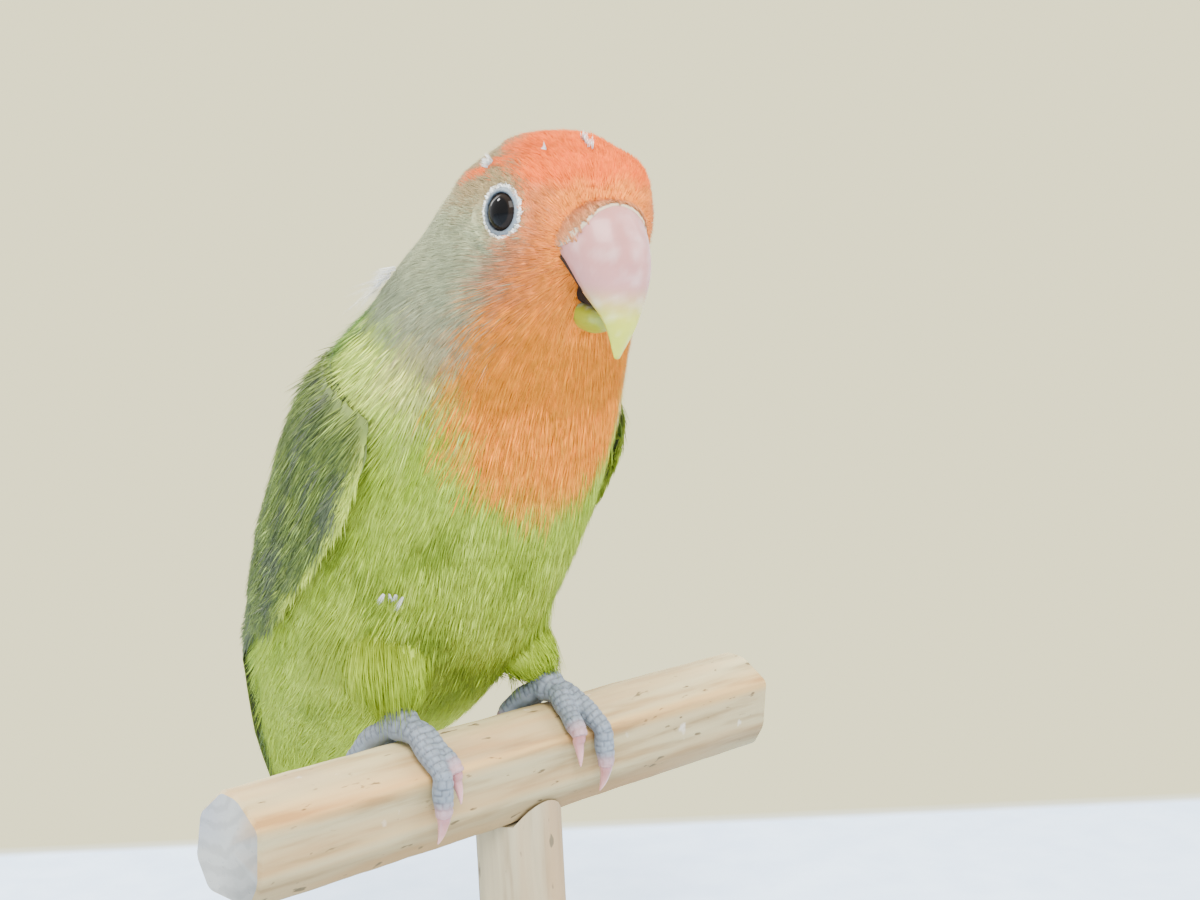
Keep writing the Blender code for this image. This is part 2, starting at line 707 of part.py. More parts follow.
def make_tail():
    """The tail: its root, six pairs of tail feathers with the middle pair on top, and the coverts over and under."""
    rings = [[body_point(t, 360 * i / ROUND, -0.4) for i in range(ROUND)] for t in (-GAP - 0.1, -3.0, -7.0)]
    for reach, half, below, above in TAIL_ROOT:
        ring = []
        for i in range(ROUND):
            turn = 2 * math.pi * i / ROUND
            depth = -below if math.cos(turn) > 0 else -above
            ring.append(tail_point(half * math.sin(turn), reach, depth * math.cos(turn)))
        rings.append(ring)
    tail = loft("tail", rings, MATERIALS["tail_feathers"])
    feathers = []
    for share in fan(TAIL_FEATHERS):
        length = RECTRIX_LENGTH - OUTER_SHORTER * share * share + random.uniform(-0.4, 0.4)
        height = (0.4 - 0.9 * abs(share), 0.5 - 1.6 * abs(share))
        feathers.append(tail_feather(RECTRIX_ROOT, length, RECTRIX_WIDTH, share * TAIL_ROOT_HALF,
                                     share * TAIL_HALF, height, math.copysign(-0.3, -share), VANE_ROWS))
    for share in fan(COVERT_COUNT):
        curve = 1 - 0.45 * share * share
        over = (2.6 * curve, 1.3 * curve)
        under = (-5.0 * curve, -1.9 * curve)
        feathers.append(tail_feather(3, 15 - 2.0 * abs(share), 6.0, share * 4.5, share * 4.2, over, 0.0, SHORT_ROWS))
        feathers.append(tail_feather(2, 19 - 3.0 * abs(share), 6.4, share * 5.0, share * 3.6, under, 0.0, SHORT_ROWS))
    join(tail, feathers)


for old in list(bpy.data.objects):
    bpy.data.objects.remove(old)
random.seed(SEED)
PARTS = bpy.data.collections.new("lovebird")
bpy.context.scene.collection.children.link(PARTS)
MATERIALS = {
    "helper": principled("helper", (0.5, 0.5, 0.5), 0.5),
    "face_feathers": principled("face_feathers", (0.85, 0.30, 0.12), 0.8),
    "neck_feathers": principled("neck_feathers", (0.80, 0.33, 0.12), 0.8),
    "body_feathers": principled("body_feathers", (0.40, 0.50, 0.10), 0.8),
    "wing_feathers": principled("wing_feathers", (0.18, 0.28, 0.07), 0.7),
    "tail_feathers": principled("tail_feathers", (0.30, 0.40, 0.08), 0.7),
    "leg_feathers": principled("leg_feathers", (0.42, 0.50, 0.12), 0.8),
    "foot_skin": principled("foot_skin", (0.36, 0.38, 0.48), 0.6),
    "claw": principled("claw", (0.62, 0.36, 0.35), 0.35),
    "bill": principled("bill", (0.72, 0.60, 0.50), 0.3),
    "cere": principled("cere", (0.76, 0.70, 0.55), 0.6),
    "eye": principled("eye", (0.01, 0.01, 0.01), 0.05),
}
make_stand()
torso = body_part("torso", 0.0, CUT_NECK, 14, MATERIALS["body_feathers"])
neck = body_part("neck", CUT_NECK + GAP, CUT_HEAD, 6, MATERIALS["neck_feathers"])
make_head()
make_bill()
for label in ("right", "left"):
    make_wing(label)
    make_leg(label)
make_tail()
for obj in PARTS.objects:
    if obj.name not in ("perch", "stand_post", "stand_base"):
        obj.data.shade_smooth()
        obj.data.set_sharp_from_angle(angle=math.radians(50))
bpy.data.materials.remove(MATERIALS["helper"])
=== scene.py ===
"""Looks for the perched peach-faced lovebird: plumage, bill, eyes, feet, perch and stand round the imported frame.

Sizes are in millimetres and become metres when a mesh is made. The bird's shape comes from the same named
sections as its solids; the skin lies under them by the depth of the coat, and feathers cover it.
"""

import math

import bmesh
import bpy
import numpy as np
from mathutils import Matrix, Vector, noise
from mathutils.bvhtree import BVHTree
from mathutils.kdtree import KDTree

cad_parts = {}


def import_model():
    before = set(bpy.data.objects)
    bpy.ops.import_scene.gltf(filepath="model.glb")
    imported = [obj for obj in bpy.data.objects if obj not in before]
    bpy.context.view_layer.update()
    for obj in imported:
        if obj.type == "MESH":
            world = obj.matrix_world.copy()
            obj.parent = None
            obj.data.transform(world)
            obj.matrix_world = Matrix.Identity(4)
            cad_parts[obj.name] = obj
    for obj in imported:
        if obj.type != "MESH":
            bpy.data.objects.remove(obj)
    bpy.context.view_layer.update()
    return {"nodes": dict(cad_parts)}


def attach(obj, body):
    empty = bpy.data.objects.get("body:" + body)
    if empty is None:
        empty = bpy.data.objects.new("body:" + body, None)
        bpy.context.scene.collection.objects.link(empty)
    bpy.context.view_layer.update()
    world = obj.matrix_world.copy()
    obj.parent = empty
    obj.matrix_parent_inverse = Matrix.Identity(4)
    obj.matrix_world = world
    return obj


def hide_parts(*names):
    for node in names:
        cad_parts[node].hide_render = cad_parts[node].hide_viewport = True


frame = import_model()

MM = 0.001
SEED = 11
RNG = np.random.default_rng(SEED)

# Stand, perch and the bird's place on it
BAR_HEIGHT = 44.5
BAR_LENGTH = 101.0
BAR_SHIFT = 0.4
BAR_CORNERS = ((-8, 7.9), (-60, 7.7), (-108, 9.0), (-140, 9.2), (-208, 8.8), (-238, 7.8), (-295, 8.4), (-340, 7.8))
BIRD_X = -6.6
BIRD_YAW = math.radians(7.0)
GAP = 0.3
SIDES = {"right": 1, "left": -1}

# Body sections: place behind and above the bar's axis, forward lean, half width, half depth in front and
# behind, and how square each is
SECTIONS = (
    ("wing_tips", 53.0, -21.0, 20, 6.2, 4.5, 5.2, 2.0),
    ("tail_middle", 49.2, -11.0, 26, 8.2, 5.5, 6.8, 2.0),
    ("tail_coverts", 46.6, -3.0, 36, 10.8, 8.6, 8.4, 2.0),
    ("vent", 41.4, 5.0, 46, 14.0, 13.0, 10.0, 2.0),
    ("rump", 34.0, 12.0, 43, 17.5, 17.6, 13.5, 2.0),
    ("lower_belly", 23.8, 20.5, 37, 20.2, 20.4, 16.5, 2.0),
    ("belly", 16.3, 28.5, 31, 21.6, 21.8, 18.5, 2.0),
    ("lower_breast", 8.3, 38.5, 28, 22.0, 22.2, 19.3, 2.0),
    ("breast", 1.2, 49.0, 31, 21.8, 22.2, 18.8, 2.0),
    ("shoulders", -7.0, 60.0, 33, 20.2, 20.4, 17.0, 2.0),
    ("neck", -13.5, 68.5, 29, 17.6, 17.8, 15.0, 2.05),
    ("jaw", -19.5, 75.5, 17, 15.0, 15.0, 13.0, 2.25),
    ("eyes", -23.7, 81.5, 6, 12.5, 13.2, 12.2, 2.85),
    ("forehead", -24.8, 85.8, 0, 10.9, 11.6, 10.4, 2.4),
    ("crown", -25.0, 88.6, 0, 6.9, 7.2, 6.6, 2.2),
)


def smooth(keys, values, at):
    keys = np.asarray(keys, float)
    values = np.asarray(values, float)
    slopes = np.gradient(values, keys)
    at = min(max(at, keys[0]), keys[-1])
    i = min(int(np.searchsorted(keys, at, "right")) - 1, len(keys) - 2)
    step = keys[i + 1] - keys[i]
    u = (at - keys[i]) / step
    start = (2 * u**3 - 3 * u**2 + 1) * values[i] + (u**3 - 2 * u**2 + u) * step * slopes[i]
    end = (3 * u**2 - 2 * u**3) * values[i + 1] + (u**3 - u**2) * step * slopes[i + 1]
    return float(start + end)


def spine_keys():
    keys = [0.0]
    for low, high in zip(SECTIONS, SECTIONS[1:]):
        keys.append(keys[-1] + math.hypot(high[1] - low[1], high[2] - low[2]))
    zero = keys[[s[0] for s in SECTIONS].index("vent")]
    return [k - zero for k in keys]


SPINE = spine_keys()
COLUMNS = list(zip(*SECTIONS))[1:]
TABLE_STEP = 0.2
TABLE_T = np.arange(SPINE[0], SPINE[-1] + 0.1, TABLE_STEP)
TABLE = np.array([[smooth(SPINE, column, t) for column in COLUMNS] for t in TABLE_T])


def sections(t):
    """The seven numbers of the body's section at each level, in SECTIONS' order."""
    return [np.interp(t, TABLE_T, TABLE[:, k]) for k in range(7)]


def world(right, forward, up):
    """Points given on the bird's own axes, as rows of millimetres in the scene."""
    c = math.cos(BIRD_YAW)
    s = math.sin(BIRD_YAW)
    right, forward, up = np.broadcast_arrays(right, forward, up)
    return np.stack([BIRD_X - right * c - forward * s, right * s - forward * c, BAR_HEIGHT + up], axis=-1)


def to_bird(points):
    """Right, forward and up of scene points, on the bird's own axes."""
    c = math.cos(BIRD_YAW)
    s = math.sin(BIRD_YAW)
    x = points[..., 0] - BIRD_X
    y = points[..., 1]
    return -x * c + y * s, -x * s - y * c, points[..., 2] - BAR_HEIGHT


def body_points(t, angle, out=0.0):
    """Points on the body: angle 0 is the front, 90 the bird's right, 180 the back."""
    t, angle, out = np.broadcast_arrays(np.asarray(t, float), np.asarray(angle, float), np.asarray(out, float))
    back, up, lean, half, front, rear, square = sections(t)
    c = np.cos(np.radians(angle))
    s = np.sin(np.radians(angle))
    depth = np.where(c > 0, front, rear) + out
    ahead = depth * np.copysign(np.abs(c) ** (2 / square), c)
    across = np.copysign(np.abs(s) ** (2 / square), s)
    tilt = np.radians(lean)
    return world((half + out) * across, -back + ahead * np.cos(tilt), up - ahead * np.sin(tilt))


def by_key(at, table):
    """A value at each place from a table of (place, value) rows."""
    return np.interp(at, *zip(*table))


def unit(v):
    return v / np.maximum(np.linalg.norm(v, axis=-1, keepdims=True), 1e-9)


def step(low, high, x):
    """0 below low, 1 above high and smooth between."""
    u = np.clip((x - low) / (high - low), 0, 1)
    return u * u * (3 - 2 * u)


def linear(r, g, b):
    """A colour by its display values from 0 to 255, as linear light."""
    return np.array([((v / 255 + 0.055) / 1.055) ** 2.4 if v > 10 else v / 255 / 12.92 for v in (r, g, b)])


# Meshes

def raw_mesh(name, points, triangles, material, tint=None, bake=None, smooth_faces=True):
    """An object from arrays: points in mm, triangles, and a colour and a bake place for each point."""
    triangles = np.asarray(triangles, np.int32)
    mesh = bpy.data.meshes.new(name)
    mesh.vertices.add(len(points))
    mesh.vertices.foreach_set("co", (np.asarray(points, np.float32) * MM).ravel())
    mesh.loops.add(triangles.size)
    mesh.loops.foreach_set("vertex_index", triangles.ravel())
    mesh.polygons.add(len(triangles))
    mesh.polygons.foreach_set("loop_start", np.arange(0, triangles.size, 3, dtype=np.int32))
    mesh.update(calc_edges=True)
    mesh.validate()
    if bake is not None:
        layer = mesh.uv_layers.new(name="OFBake")
        layer.data.foreach_set("uv", np.asarray(bake, np.float32)[triangles.ravel()].ravel())
    if tint is not None:
        colours = mesh.color_attributes.new("tint", "FLOAT_COLOR", "POINT")
        full = np.ones((len(points), 4), np.float32)
        full[:, :3] = tint
        colours.data.foreach_set("color", full.ravel())
    if smooth_faces:
        mesh.polygons.foreach_set("use_smooth", np.ones(len(triangles), bool))
    obj = bpy.data.objects.new(name, mesh)
    bpy.context.scene.collection.objects.link(obj)
    obj.data.materials.append(material)
    return obj


def grid_triangles(rows, columns, wrap=True, closed=False):
    """Triangles between rows of points: wrap closes each row, and closed joins the last row to the first."""
    out = []
    for r in range(rows if closed else rows - 1):
        low = r * columns
        high = (r + 1) % rows * columns
        for c in range(columns if wrap else columns - 1):
            d = (c + 1) % columns
            out += [(low + c, low + d, high + d), (low + c, high + d, high + c)]
    return out


def sheet_triangles(rows, columns, turned=False):
    """Triangles of a thin sheet: two faces of rows by columns points, and the rim that joins them."""
    face = np.array(grid_triangles(rows, columns, wrap=False))
    size = rows * columns
    rim = list(range(columns)) + [r * columns + columns - 1 for r in range(1, rows)]
    rim += [(rows - 1) * columns + c for c in range(columns - 2, -1, -1)]
    rim += [r * columns for r in range(rows - 2, 0, -1)]
    edge = []
    for a, b in zip(rim, rim[1:] + rim[:1]):
        edge += [(a, size + a, size + b), (a, size + b, b)]
    first, second = (face[:, ::-1], face) if turned else (face, face[:, ::-1])
    return np.concatenate([first, second + size, np.array(edge)])


def closed_loft(rings):
    """A closed skin through rings of equal count, with a middle point at each end: points and triangles."""
    rings = np.asarray(rings, float)
    rows, columns = rings.shape[:2]
    points = np.concatenate([rings.reshape(-1, 3), rings[0].mean(0)[None], rings[-1].mean(0)[None]])
    triangles = grid_triangles(rows, columns)
    low = rows * columns
    for c in range(columns):
        n = (c + 1) % columns
        triangles.append((low, n, c))
        triangles.append((low + 1, (rows - 1) * columns + c, (rows - 1) * columns + n))
    return points, turned_out(points, np.array(triangles))


def turned_out(points, triangles):
    """The triangles of a closed body, wound so that they face outward."""
    corners = points[triangles]
    volume = np.einsum("ij,ij->i", corners[:, 0], np.cross(corners[:, 1], corners[:, 2])).sum()
    return triangles if volume > 0 else triangles[:, ::-1]


def fused(shells, voxel, smoothing):
    """One closed skin round overlapping closed shells, as points in mm and triangles."""
    points, triangles = gather(shells)
    obj = raw_mesh("fusing", points, triangles, bpy.data.materials.new("fusing"))
    remesh = obj.modifiers.new("Remesh", "REMESH")
    remesh.mode = "VOXEL"
    remesh.voxel_size = voxel * MM
    soften = obj.modifiers.new("Smooth", "SMOOTH")
    soften.factor = 0.5
    soften.iterations = smoothing
    bpy.context.view_layer.update()
    made = bpy.data.meshes.new_from_object(obj.evaluated_get(bpy.context.evaluated_depsgraph_get()))
    made.calc_loop_triangles()
    co = np.empty(len(made.vertices) * 3, np.float32)
    made.vertices.foreach_get("co", co)
    faces = np.empty(len(made.loop_triangles) * 3, np.int32)
    made.loop_triangles.foreach_get("vertices", faces)
    bpy.data.objects.remove(obj)
    bpy.data.meshes.remove(made)
    return co.reshape(-1, 3).astype(float) / MM, faces.reshape(-1, 3)


def gather(parts):
    """Joins parts of points, triangles and whatever else each has by point into one."""
    points, triangles, *rest = zip(*parts)
    starts = np.cumsum([0] + [len(p) for p in points[:-1]])
    return (np.concatenate(points), np.concatenate([t + n for t, n in zip(triangles, starts)]),
            *(np.concatenate(values) for values in rest))


def plain(colour, points):
    """One colour for every point."""
    return np.tile(colour, (len(points), 1))


def frames_along(path):
    """A direction and two sides for each point of a path, turning as little as they can."""
    path = np.asarray(path, float)
    ahead = unit(np.gradient(path, axis=0))
    side = np.cross(ahead[0], (1.0, 0.0, 0.0))
    if np.linalg.norm(side) < 0.1:
        side = np.cross(ahead[0], (0.0, 1.0, 0.0))
    sides = []
    for a in ahead:
        side = unit(side - a * side.dot(a))
        sides.append(side)
    sides = np.array(sides)
    return ahead, sides, np.cross(ahead, sides)


def turns_round(count):
    """Evenly spaced turns in radians."""
    return np.arange(count) * 2 * np.pi / count


def tube(path, radii, sides):
    """A closed round tube along a path, with a radius at each of its points."""
    ahead, one, two = frames_along(path)
    turn = turns_round(sides)
    radii = np.asarray(radii, float)
    ring = np.cos(turn)[None, :, None] * one[:, None] + np.sin(turn)[None, :, None] * two[:, None]
    return closed_loft(np.asarray(path)[:, None] + ring * radii[:, None, None])


# Materials

def shader(name, roughness, coat=0.0, subsurface=0.0, specular=0.5):
    material = bpy.data.materials.new(name)
    material.use_nodes = True
    nodes = material.node_tree.nodes
    surface = nodes["Principled BSDF"]
    surface.inputs["Roughness"].default_value = roughness
    surface.inputs["Coat Weight"].default_value = coat
    surface.inputs["Coat Roughness"].default_value = 0.05
    surface.inputs["Specular IOR Level"].default_value = specular
    if subsurface:
        surface.inputs["Subsurface Weight"].default_value = subsurface
        surface.inputs["Subsurface Radius"].default_value = (1.0, 0.5, 0.35)
        surface.inputs["Subsurface Scale"].default_value = 0.0012
    return material, nodes, material.node_tree.links, surface


def add(nodes, kind, **values):
    """A node with its inputs and settings given by name."""
    node = nodes.new(kind)
    for key, value in values.items():
        if key in node.inputs:
            node.inputs[key].default_value = value
        else:
            setattr(node, key, value)
    return node


def noise_fac(nodes, links, scale, detail=4.0, stretch=None):
    """Noise in the object's own space, with features of about 1/scale metres."""
    place = nodes.new("ShaderNodeTexCoord").outputs["Object"]
    texture = add(nodes, "ShaderNodeTexNoise", Scale=scale, Detail=detail)
    if stretch:
        mapping = add(nodes, "ShaderNodeMapping", Scale=stretch)
        links.new(place, mapping.inputs["Vector"])
        place = mapping.outputs["Vector"]
    links.new(place, texture.inputs["Vector"])
    return texture.outputs["Fac"]


def ramp(nodes, links, source, stops):
    """A colour by a number's value, from (value, colour) stops."""
    node = nodes.new("ShaderNodeValToRGB")
    while len(node.color_ramp.elements) < len(stops):
        node.color_ramp.elements.new(0.5)
    for element, (place, colour) in zip(node.color_ramp.elements, stops):
        element.position = place
        element.color = (*colour, 1.0)
    links.new(source, node.inputs["Fac"])
    return node.outputs["Color"]


def mask(nodes, links, source, low, high, most=1.0):
    """Black up to low and white, or the grey called most, from high; the other way round when most is 0."""
    first = 1.0 if most == 0 else 0.0
    return ramp(nodes, links, source, ((low, (first,) * 3), (high, (most,) * 3)))


def mix(nodes, links, share, first, second, kind="MIX"):
    """Two colours mixed by a share; each of the three is a socket or a value."""
    node = add(nodes, "ShaderNodeMix", data_type="RGBA", blend_type=kind)
    for socket, value in ((node.inputs[0], share), (node.inputs[6], first), (node.inputs[7], second)):
        if isinstance(value, bpy.types.NodeSocket):
            links.new(value, socket)
        elif isinstance(value, (int, float)):
            socket.default_value = value
        else:
            socket.default_value = (*value, 1.0)
    return node.outputs[2]


def tint_colour(nodes):
    """The colour that raw_mesh keeps for each point."""
    return add(nodes, "ShaderNodeAttribute", attribute_name="tint").outputs["Color"]


def bump(nodes, links, surface, height, strength, distance):
    """Fine relief, with distance in mm."""
    node = add(nodes, "ShaderNodeBump", Strength=strength, Distance=distance * MM)
    links.new(height, node.inputs["Height"])
    links.new(node.outputs["Normal"], surface.inputs["Normal"])


def tinted(name, roughness, low, high, scale, strength=0.25, depth=0.05, **more):
    """A material whose colour is the mesh's own tint, varied from low to high by noise."""
    material, nodes, links, surface = shader(name, roughness, **more)
    vary = ramp(nodes, links, noise_fac(nodes, links, scale), ((0.3, (low,) * 3), (0.7, (high,) * 3)))
    colour = mix(nodes, links, 1.0, tint_colour(nodes), vary, "MULTIPLY")
    links.new(colour, surface.inputs["Base Color"])
    bump(nodes, links, surface, noise_fac(nodes, links, scale * 4), strength, depth)
    return material


ALONG_GRAIN = 0.09
ALONG_PIT = 0.35
RING_HEART = (0.0, -0.004, -0.058)
CHALK = linear(235, 230, 220)


def sawn_rings(nodes, links, grey):
    """Grey growth rings for a sawn end, seen along X."""
    rings = add(nodes, "ShaderNodeTexWave", wave_type="RINGS", rings_direction="X",
                **{"Scale": 110.0, "Distortion": 5.0, "Detail": 3.0, "Detail Scale": 2.0})
    shift = add(nodes, "ShaderNodeMapping", Location=RING_HEART)
    links.new(nodes.new("ShaderNodeTexCoord").outputs["Object"], shift.inputs["Vector"])
    links.new(shift.outputs["Vector"], rings.inputs["Vector"])
    return ramp(nodes, links, rings.outputs["Color"], ((0.1, grey * 0.86), (0.6, grey)))


def wood(name, pale, dark, streak, grey=None, upright=False):
    """Planed wood with grain along its length, darker streaks, pits, chalk, and rings on the bar's sawn ends."""
    material, nodes, links, surface = shader(name, 0.7, specular=0.25)

    def grained(share):
        return (1.0, 1.0, share) if upright else (share, 1.0, 1.0)

    fine = noise_fac(nodes, links, 420.0, 6.0, grained(ALONG_GRAIN))
    wide = noise_fac(nodes, links, 90.0, 4.0, grained(ALONG_GRAIN))
    grain = ramp(nodes, links, fine, ((0.36, dark), (0.50, pale), (0.72, pale * 1.2)))
    colour = mix(nodes, links, mask(nodes, links, wide, 0.50, 0.62, 0.8), grain, streak)
    pit = mask(nodes, links, noise_fac(nodes, links, 900.0, 2.0, grained(ALONG_PIT)), 0.27, 0.33, 0.0)
    colour = mix(nodes, links, pit, colour, dark * 0.55)
    smear = mask(nodes, links, noise_fac(nodes, links, 170.0, 5.0), 0.69, 0.75, 0.6)
    colour = mix(nodes, links, smear, colour, CHALK)
    if not upright:
        parts = nodes.new("ShaderNodeSeparateXYZ")
        links.new(nodes.new("ShaderNodeNewGeometry").outputs["Normal"], parts.inputs["Vector"])
        size = add(nodes, "ShaderNodeMath", operation="ABSOLUTE")
        links.new(parts.outputs["X"], size.inputs[0])
        end = mask(nodes, links, size.outputs["Value"], 0.8, 0.95)
        colour = mix(nodes, links, end, colour, sawn_rings(nodes, links, grey))
        # Times the mesh's own tint, which on the bar holds its rust, ash and painted face shade.
        colour = mix(nodes, links, 1.0, colour, tint_colour(nodes), "MULTIPLY")
    links.new(colour, surface.inputs["Base Color"])
    height = mix(nodes, links, pit, fine, (0.0, 0.0, 0.0))
    bump(nodes, links, surface, height, 0.5, 0.3)
    return material


FEATHER = tinted("plumage", 0.75, 0.84, 1.14, 600.0, 0.15, 0.03, specular=0.06)
UNDERCOAT = tinted("plumage_skin", 0.85, 0.8, 1.1, 500.0, 0.4, 0.2, specular=0.05)
VANE = tinted("flight_feathers", 0.6, 0.8, 1.15, 500.0, 0.25, 0.05, specular=0.12)
FOOT = tinted("foot_skin", 0.6, 0.86, 1.08, 900.0, 0.35, 0.06, subsurface=0.1)
LID = tinted("lid_skin", 0.55, 0.85, 1.1, 2600.0, 0.5, 0.06, subsurface=0.1)
HORN = tinted("bill_horn", 0.3, 0.93, 1.04, 260.0, 0.1, 0.04, subsurface=0.25, coat=0.15, specular=0.35)
CLAW = tinted("claw_horn", 0.3, 0.9, 1.05, 900.0, 0.15, 0.03, subsurface=0.25, coat=0.3)
CERE = tinted("cere_skin", 0.55, 0.86, 1.05, 1400.0, 0.4, 0.08, subsurface=0.2)
EYE = tinted("eye_gloss", 0.03, 0.9, 1.1, 1500.0, 0.01, 0.01, specular=0.08)


# Camera at the photograph's place in metres, with its lens and sensor in mm

LENS = 51.09
SENSOR_WIDTH = 36.0
CAMERA_TURN = ((0.703, 0.0925, -0.7052), (-0.7094, 0.0195, -0.7046), (-0.0514, 0.9955, 0.0793))
CAMERA_PLACE = (-0.1666, -0.1878, BAR_HEIGHT * MM + 0.0661)


def make_camera():
    data = bpy.data.cameras.new("camera")
    data.lens = LENS
    data.sensor_width = SENSOR_WIDTH
    data.clip_start = 0.01
    data.clip_end = 20.0
    camera = bpy.data.objects.new("camera", data)
    bpy.context.scene.collection.objects.link(camera)
    place = Matrix(CAMERA_TURN).to_4x4()
    place.translation = CAMERA_PLACE
    camera.matrix_world = place
    bpy.context.scene.camera = camera


# Stage in metres: the floor ends at TABLE_EDGE from the middle, measured along TABLE_WAY
WALL = (1.75, 1.66, 1.02)
SKY_LIGHT = (1.95, 1.98, 2.02)
TABLE_WAY = (0.72, 0.694, 0.0)
TABLE_EDGE = 0.112
EDGE_SOFT = 0.002
FLOOR_RADIUS = 6.0
FLOOR_DROP = 0.0002
LAMP_AIM = (0.0, 0.0, 0.09)


def backdrop(nodes, links):
    """The wall's tone to look at, and an even neutral light on everything else."""
    seen = nodes.new("ShaderNodeLightPath")
    return mix(nodes, links, seen.outputs["Is Camera Ray"], SKY_LIGHT, WALL)


def make_stage():
    """A wide pale floor that ends behind the stand in a plain wall's tone."""
    shape = bmesh.new()
    bmesh.ops.create_circle(shape, cap_ends=True, segments=96, radius=FLOOR_RADIUS)
    mesh = bpy.data.meshes.new("floor")
    shape.to_mesh(mesh)
    shape.free()
    floor = bpy.data.objects.new("floor", mesh)
    floor.location = (0, 0, -FLOOR_DROP)
    bpy.context.scene.collection.objects.link(floor)
    material, nodes, links, surface = shader("floor", 0.85, specular=0.1)
    across = add(nodes, "ShaderNodeVectorMath", operation="DOT_PRODUCT")
    across.inputs[1].default_value = TABLE_WAY
    links.new(nodes.new("ShaderNodeTexCoord").outputs["Object"], across.inputs[0])
    cloud = noise_fac(nodes, links, 110.0, 3.0)
    mottle = ramp(nodes, links, cloud, ((0.35, (0.60, 0.74, 0.92)), (0.65, (0.66, 0.80, 0.97))))
    links.new(mottle, surface.inputs["Base Color"])
    glow = nodes.new("ShaderNodeEmission")
    links.new(backdrop(nodes, links), glow.inputs["Color"])
    edge = mask(nodes, links, across.outputs["Value"], TABLE_EDGE - EDGE_SOFT, TABLE_EDGE + EDGE_SOFT)
    blended = nodes.new("ShaderNodeMixShader")
    links.new(edge, blended.inputs["Fac"])
    links.new(surface.outputs["BSDF"], blended.inputs[1])
    links.new(glow.outputs["Emission"], blended.inputs[2])
    links.new(blended.outputs["Shader"], nodes["Material Output"].inputs["Surface"])
    mesh.materials.append(material)
    sky = bpy.data.worlds.new("room")
    sky.use_nodes = True
    links = sky.node_tree.links
    links.new(backdrop(sky.node_tree.nodes, links), sky.node_tree.nodes["Background"].inputs["Color"])
    bpy.context.scene.world = sky


def lamp(name, place, aim, size, power, colour=(1.0, 1.0, 1.0)):
    data = bpy.data.lights.new(name, "AREA")
    data.size = size
    data.energy = power
    data.color = colour
    lamp_object = bpy.data.objects.new(name, data)
    lamp_object.location = place
    lamp_object.rotation_euler = (Vector(place) - Vector(aim)).to_track_quat("Z", "Y").to_euler()
    bpy.context.scene.collection.objects.link(lamp_object)


make_camera()
make_stage()
lamp("key", (-0.30, -0.45, 0.55), LAMP_AIM, 0.40, 12.0, (1.0, 0.99, 0.97))
lamp("fill", (0.45, -0.40, 0.35), LAMP_AIM, 0.5, 4.0, (0.97, 0.99, 1.0))
lamp("back", (0.1, 0.55, 0.5), LAMP_AIM, 0.4, 4.0)
lamp("glint", (-0.254, 0.303, 0.568), (-0.02, -0.03, 0.124), 0.09, 3.5)


def ride(piece, slot, *nodes):
    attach(piece, "root")
    if nodes:
        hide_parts(*nodes)


def show(name, made, material, slot, *nodes, smooth_faces=True):
    """A visible piece from its points, triangles and colours, and its bake places where it has them."""
    points, triangles, tint, *bake = made
    piece = raw_mesh(name, points, triangles, material, tint, bake[0] if bake else None, smooth_faces)
    ride(piece, slot, *nodes)
    return piece


# Skin of the body, head, tail root and thighs

BODY_DEPTH = 1.0
HEAD_DEPTH = 0.5
SKIN_SIDES = 72
SKIN_VOXEL = 0.8
FOOT_X = {"right": -20.8, "left": 7.7}
KNEE_INWARD = 0.7
KNEE_BACK = 8.0
KNEE_HEIGHT = 25.0
SHIN_SHARE = 0.1
PAD_RADIUS = 2.6
THIGH = ((0, 3.4), (0.12, 4.6), (0.3, 5.6), (0.6, 6.4), (0.85, 6.0), (1, 4.0))
THIGH_COAT = 0.8
THIGH_REACH = 6.5
HEAD_BACK = 21.5
EYE_SIDE = 9.5
EYE_FORWARD = 7.1
EYE_UP = 79.5
EYE_RADIUS = 3.0
EYE_TURN = 9.0


def bar_corners():
    """The bar's corners as ahead and up from its axis."""
    return [(radius * math.sin(math.radians(turn)), radius * math.cos(math.radians(turn)))
            for turn, radius in BAR_CORNERS]


def off_the_bar(ahead, up):
    """How far a place is from the bar's outline."""
    corners = bar_corners()
    nearest = 1e9
    for (x0, y0), (x1, y1) in zip(corners, corners[1:] + corners[:1]):
        length2 = (x1 - x0) ** 2 + (y1 - y0) ** 2
        u = min(max(((ahead - x0) * (x1 - x0) + (up - y0) * (y1 - y0)) / length2, 0.0), 1.0)
        nearest = min(nearest, math.hypot(ahead - x0 - u * (x1 - x0), up - y0 - u * (y1 - y0)))
    return nearest


def round_bar(turn, distance):
    """The place at a turn from the bar's top, at a distance from its outline."""
    s = math.sin(math.radians(turn))
    c = math.cos(math.radians(turn))
    low = 9.3
    high = 30.0
    for _ in range(30):
        middle = (low + high) / 2
        if off_the_bar(middle * s, middle * c) < distance:
            low = middle
        else:
            high = middle
    return middle * s, middle * c


def leg_line(label):
    """The middle of the foot's pad, the ankle, the top of the bare shin and the knee."""
    foot_x = FOOT_X[label]
    pad = np.array([foot_x, 0.0, BAR_HEIGHT + round_bar(0, PAD_RADIUS - 0.4 + GAP)[1]])
    knee = np.array([BIRD_X + (foot_x - BIRD_X) * KNEE_INWARD, KNEE_BACK, BAR_HEIGHT + KNEE_HEIGHT])
    ankle = pad + (0, 0.8, 0.9)
    shin = ankle + (knee - ankle) * SHIN_SHARE
    return pad, ankle, shin, knee


def on_leg(points, label):
    """How far up a thigh each point is, the way to it from the thigh's middle line, and how far that is."""
    pad, ankle, shin, knee = leg_line(label)
    line = knee - shin
    share = (points - shin) @ line / (line @ line)
    spread = points - shin - share[:, None] * line
    return share, spread, np.linalg.norm(spread, axis=1)


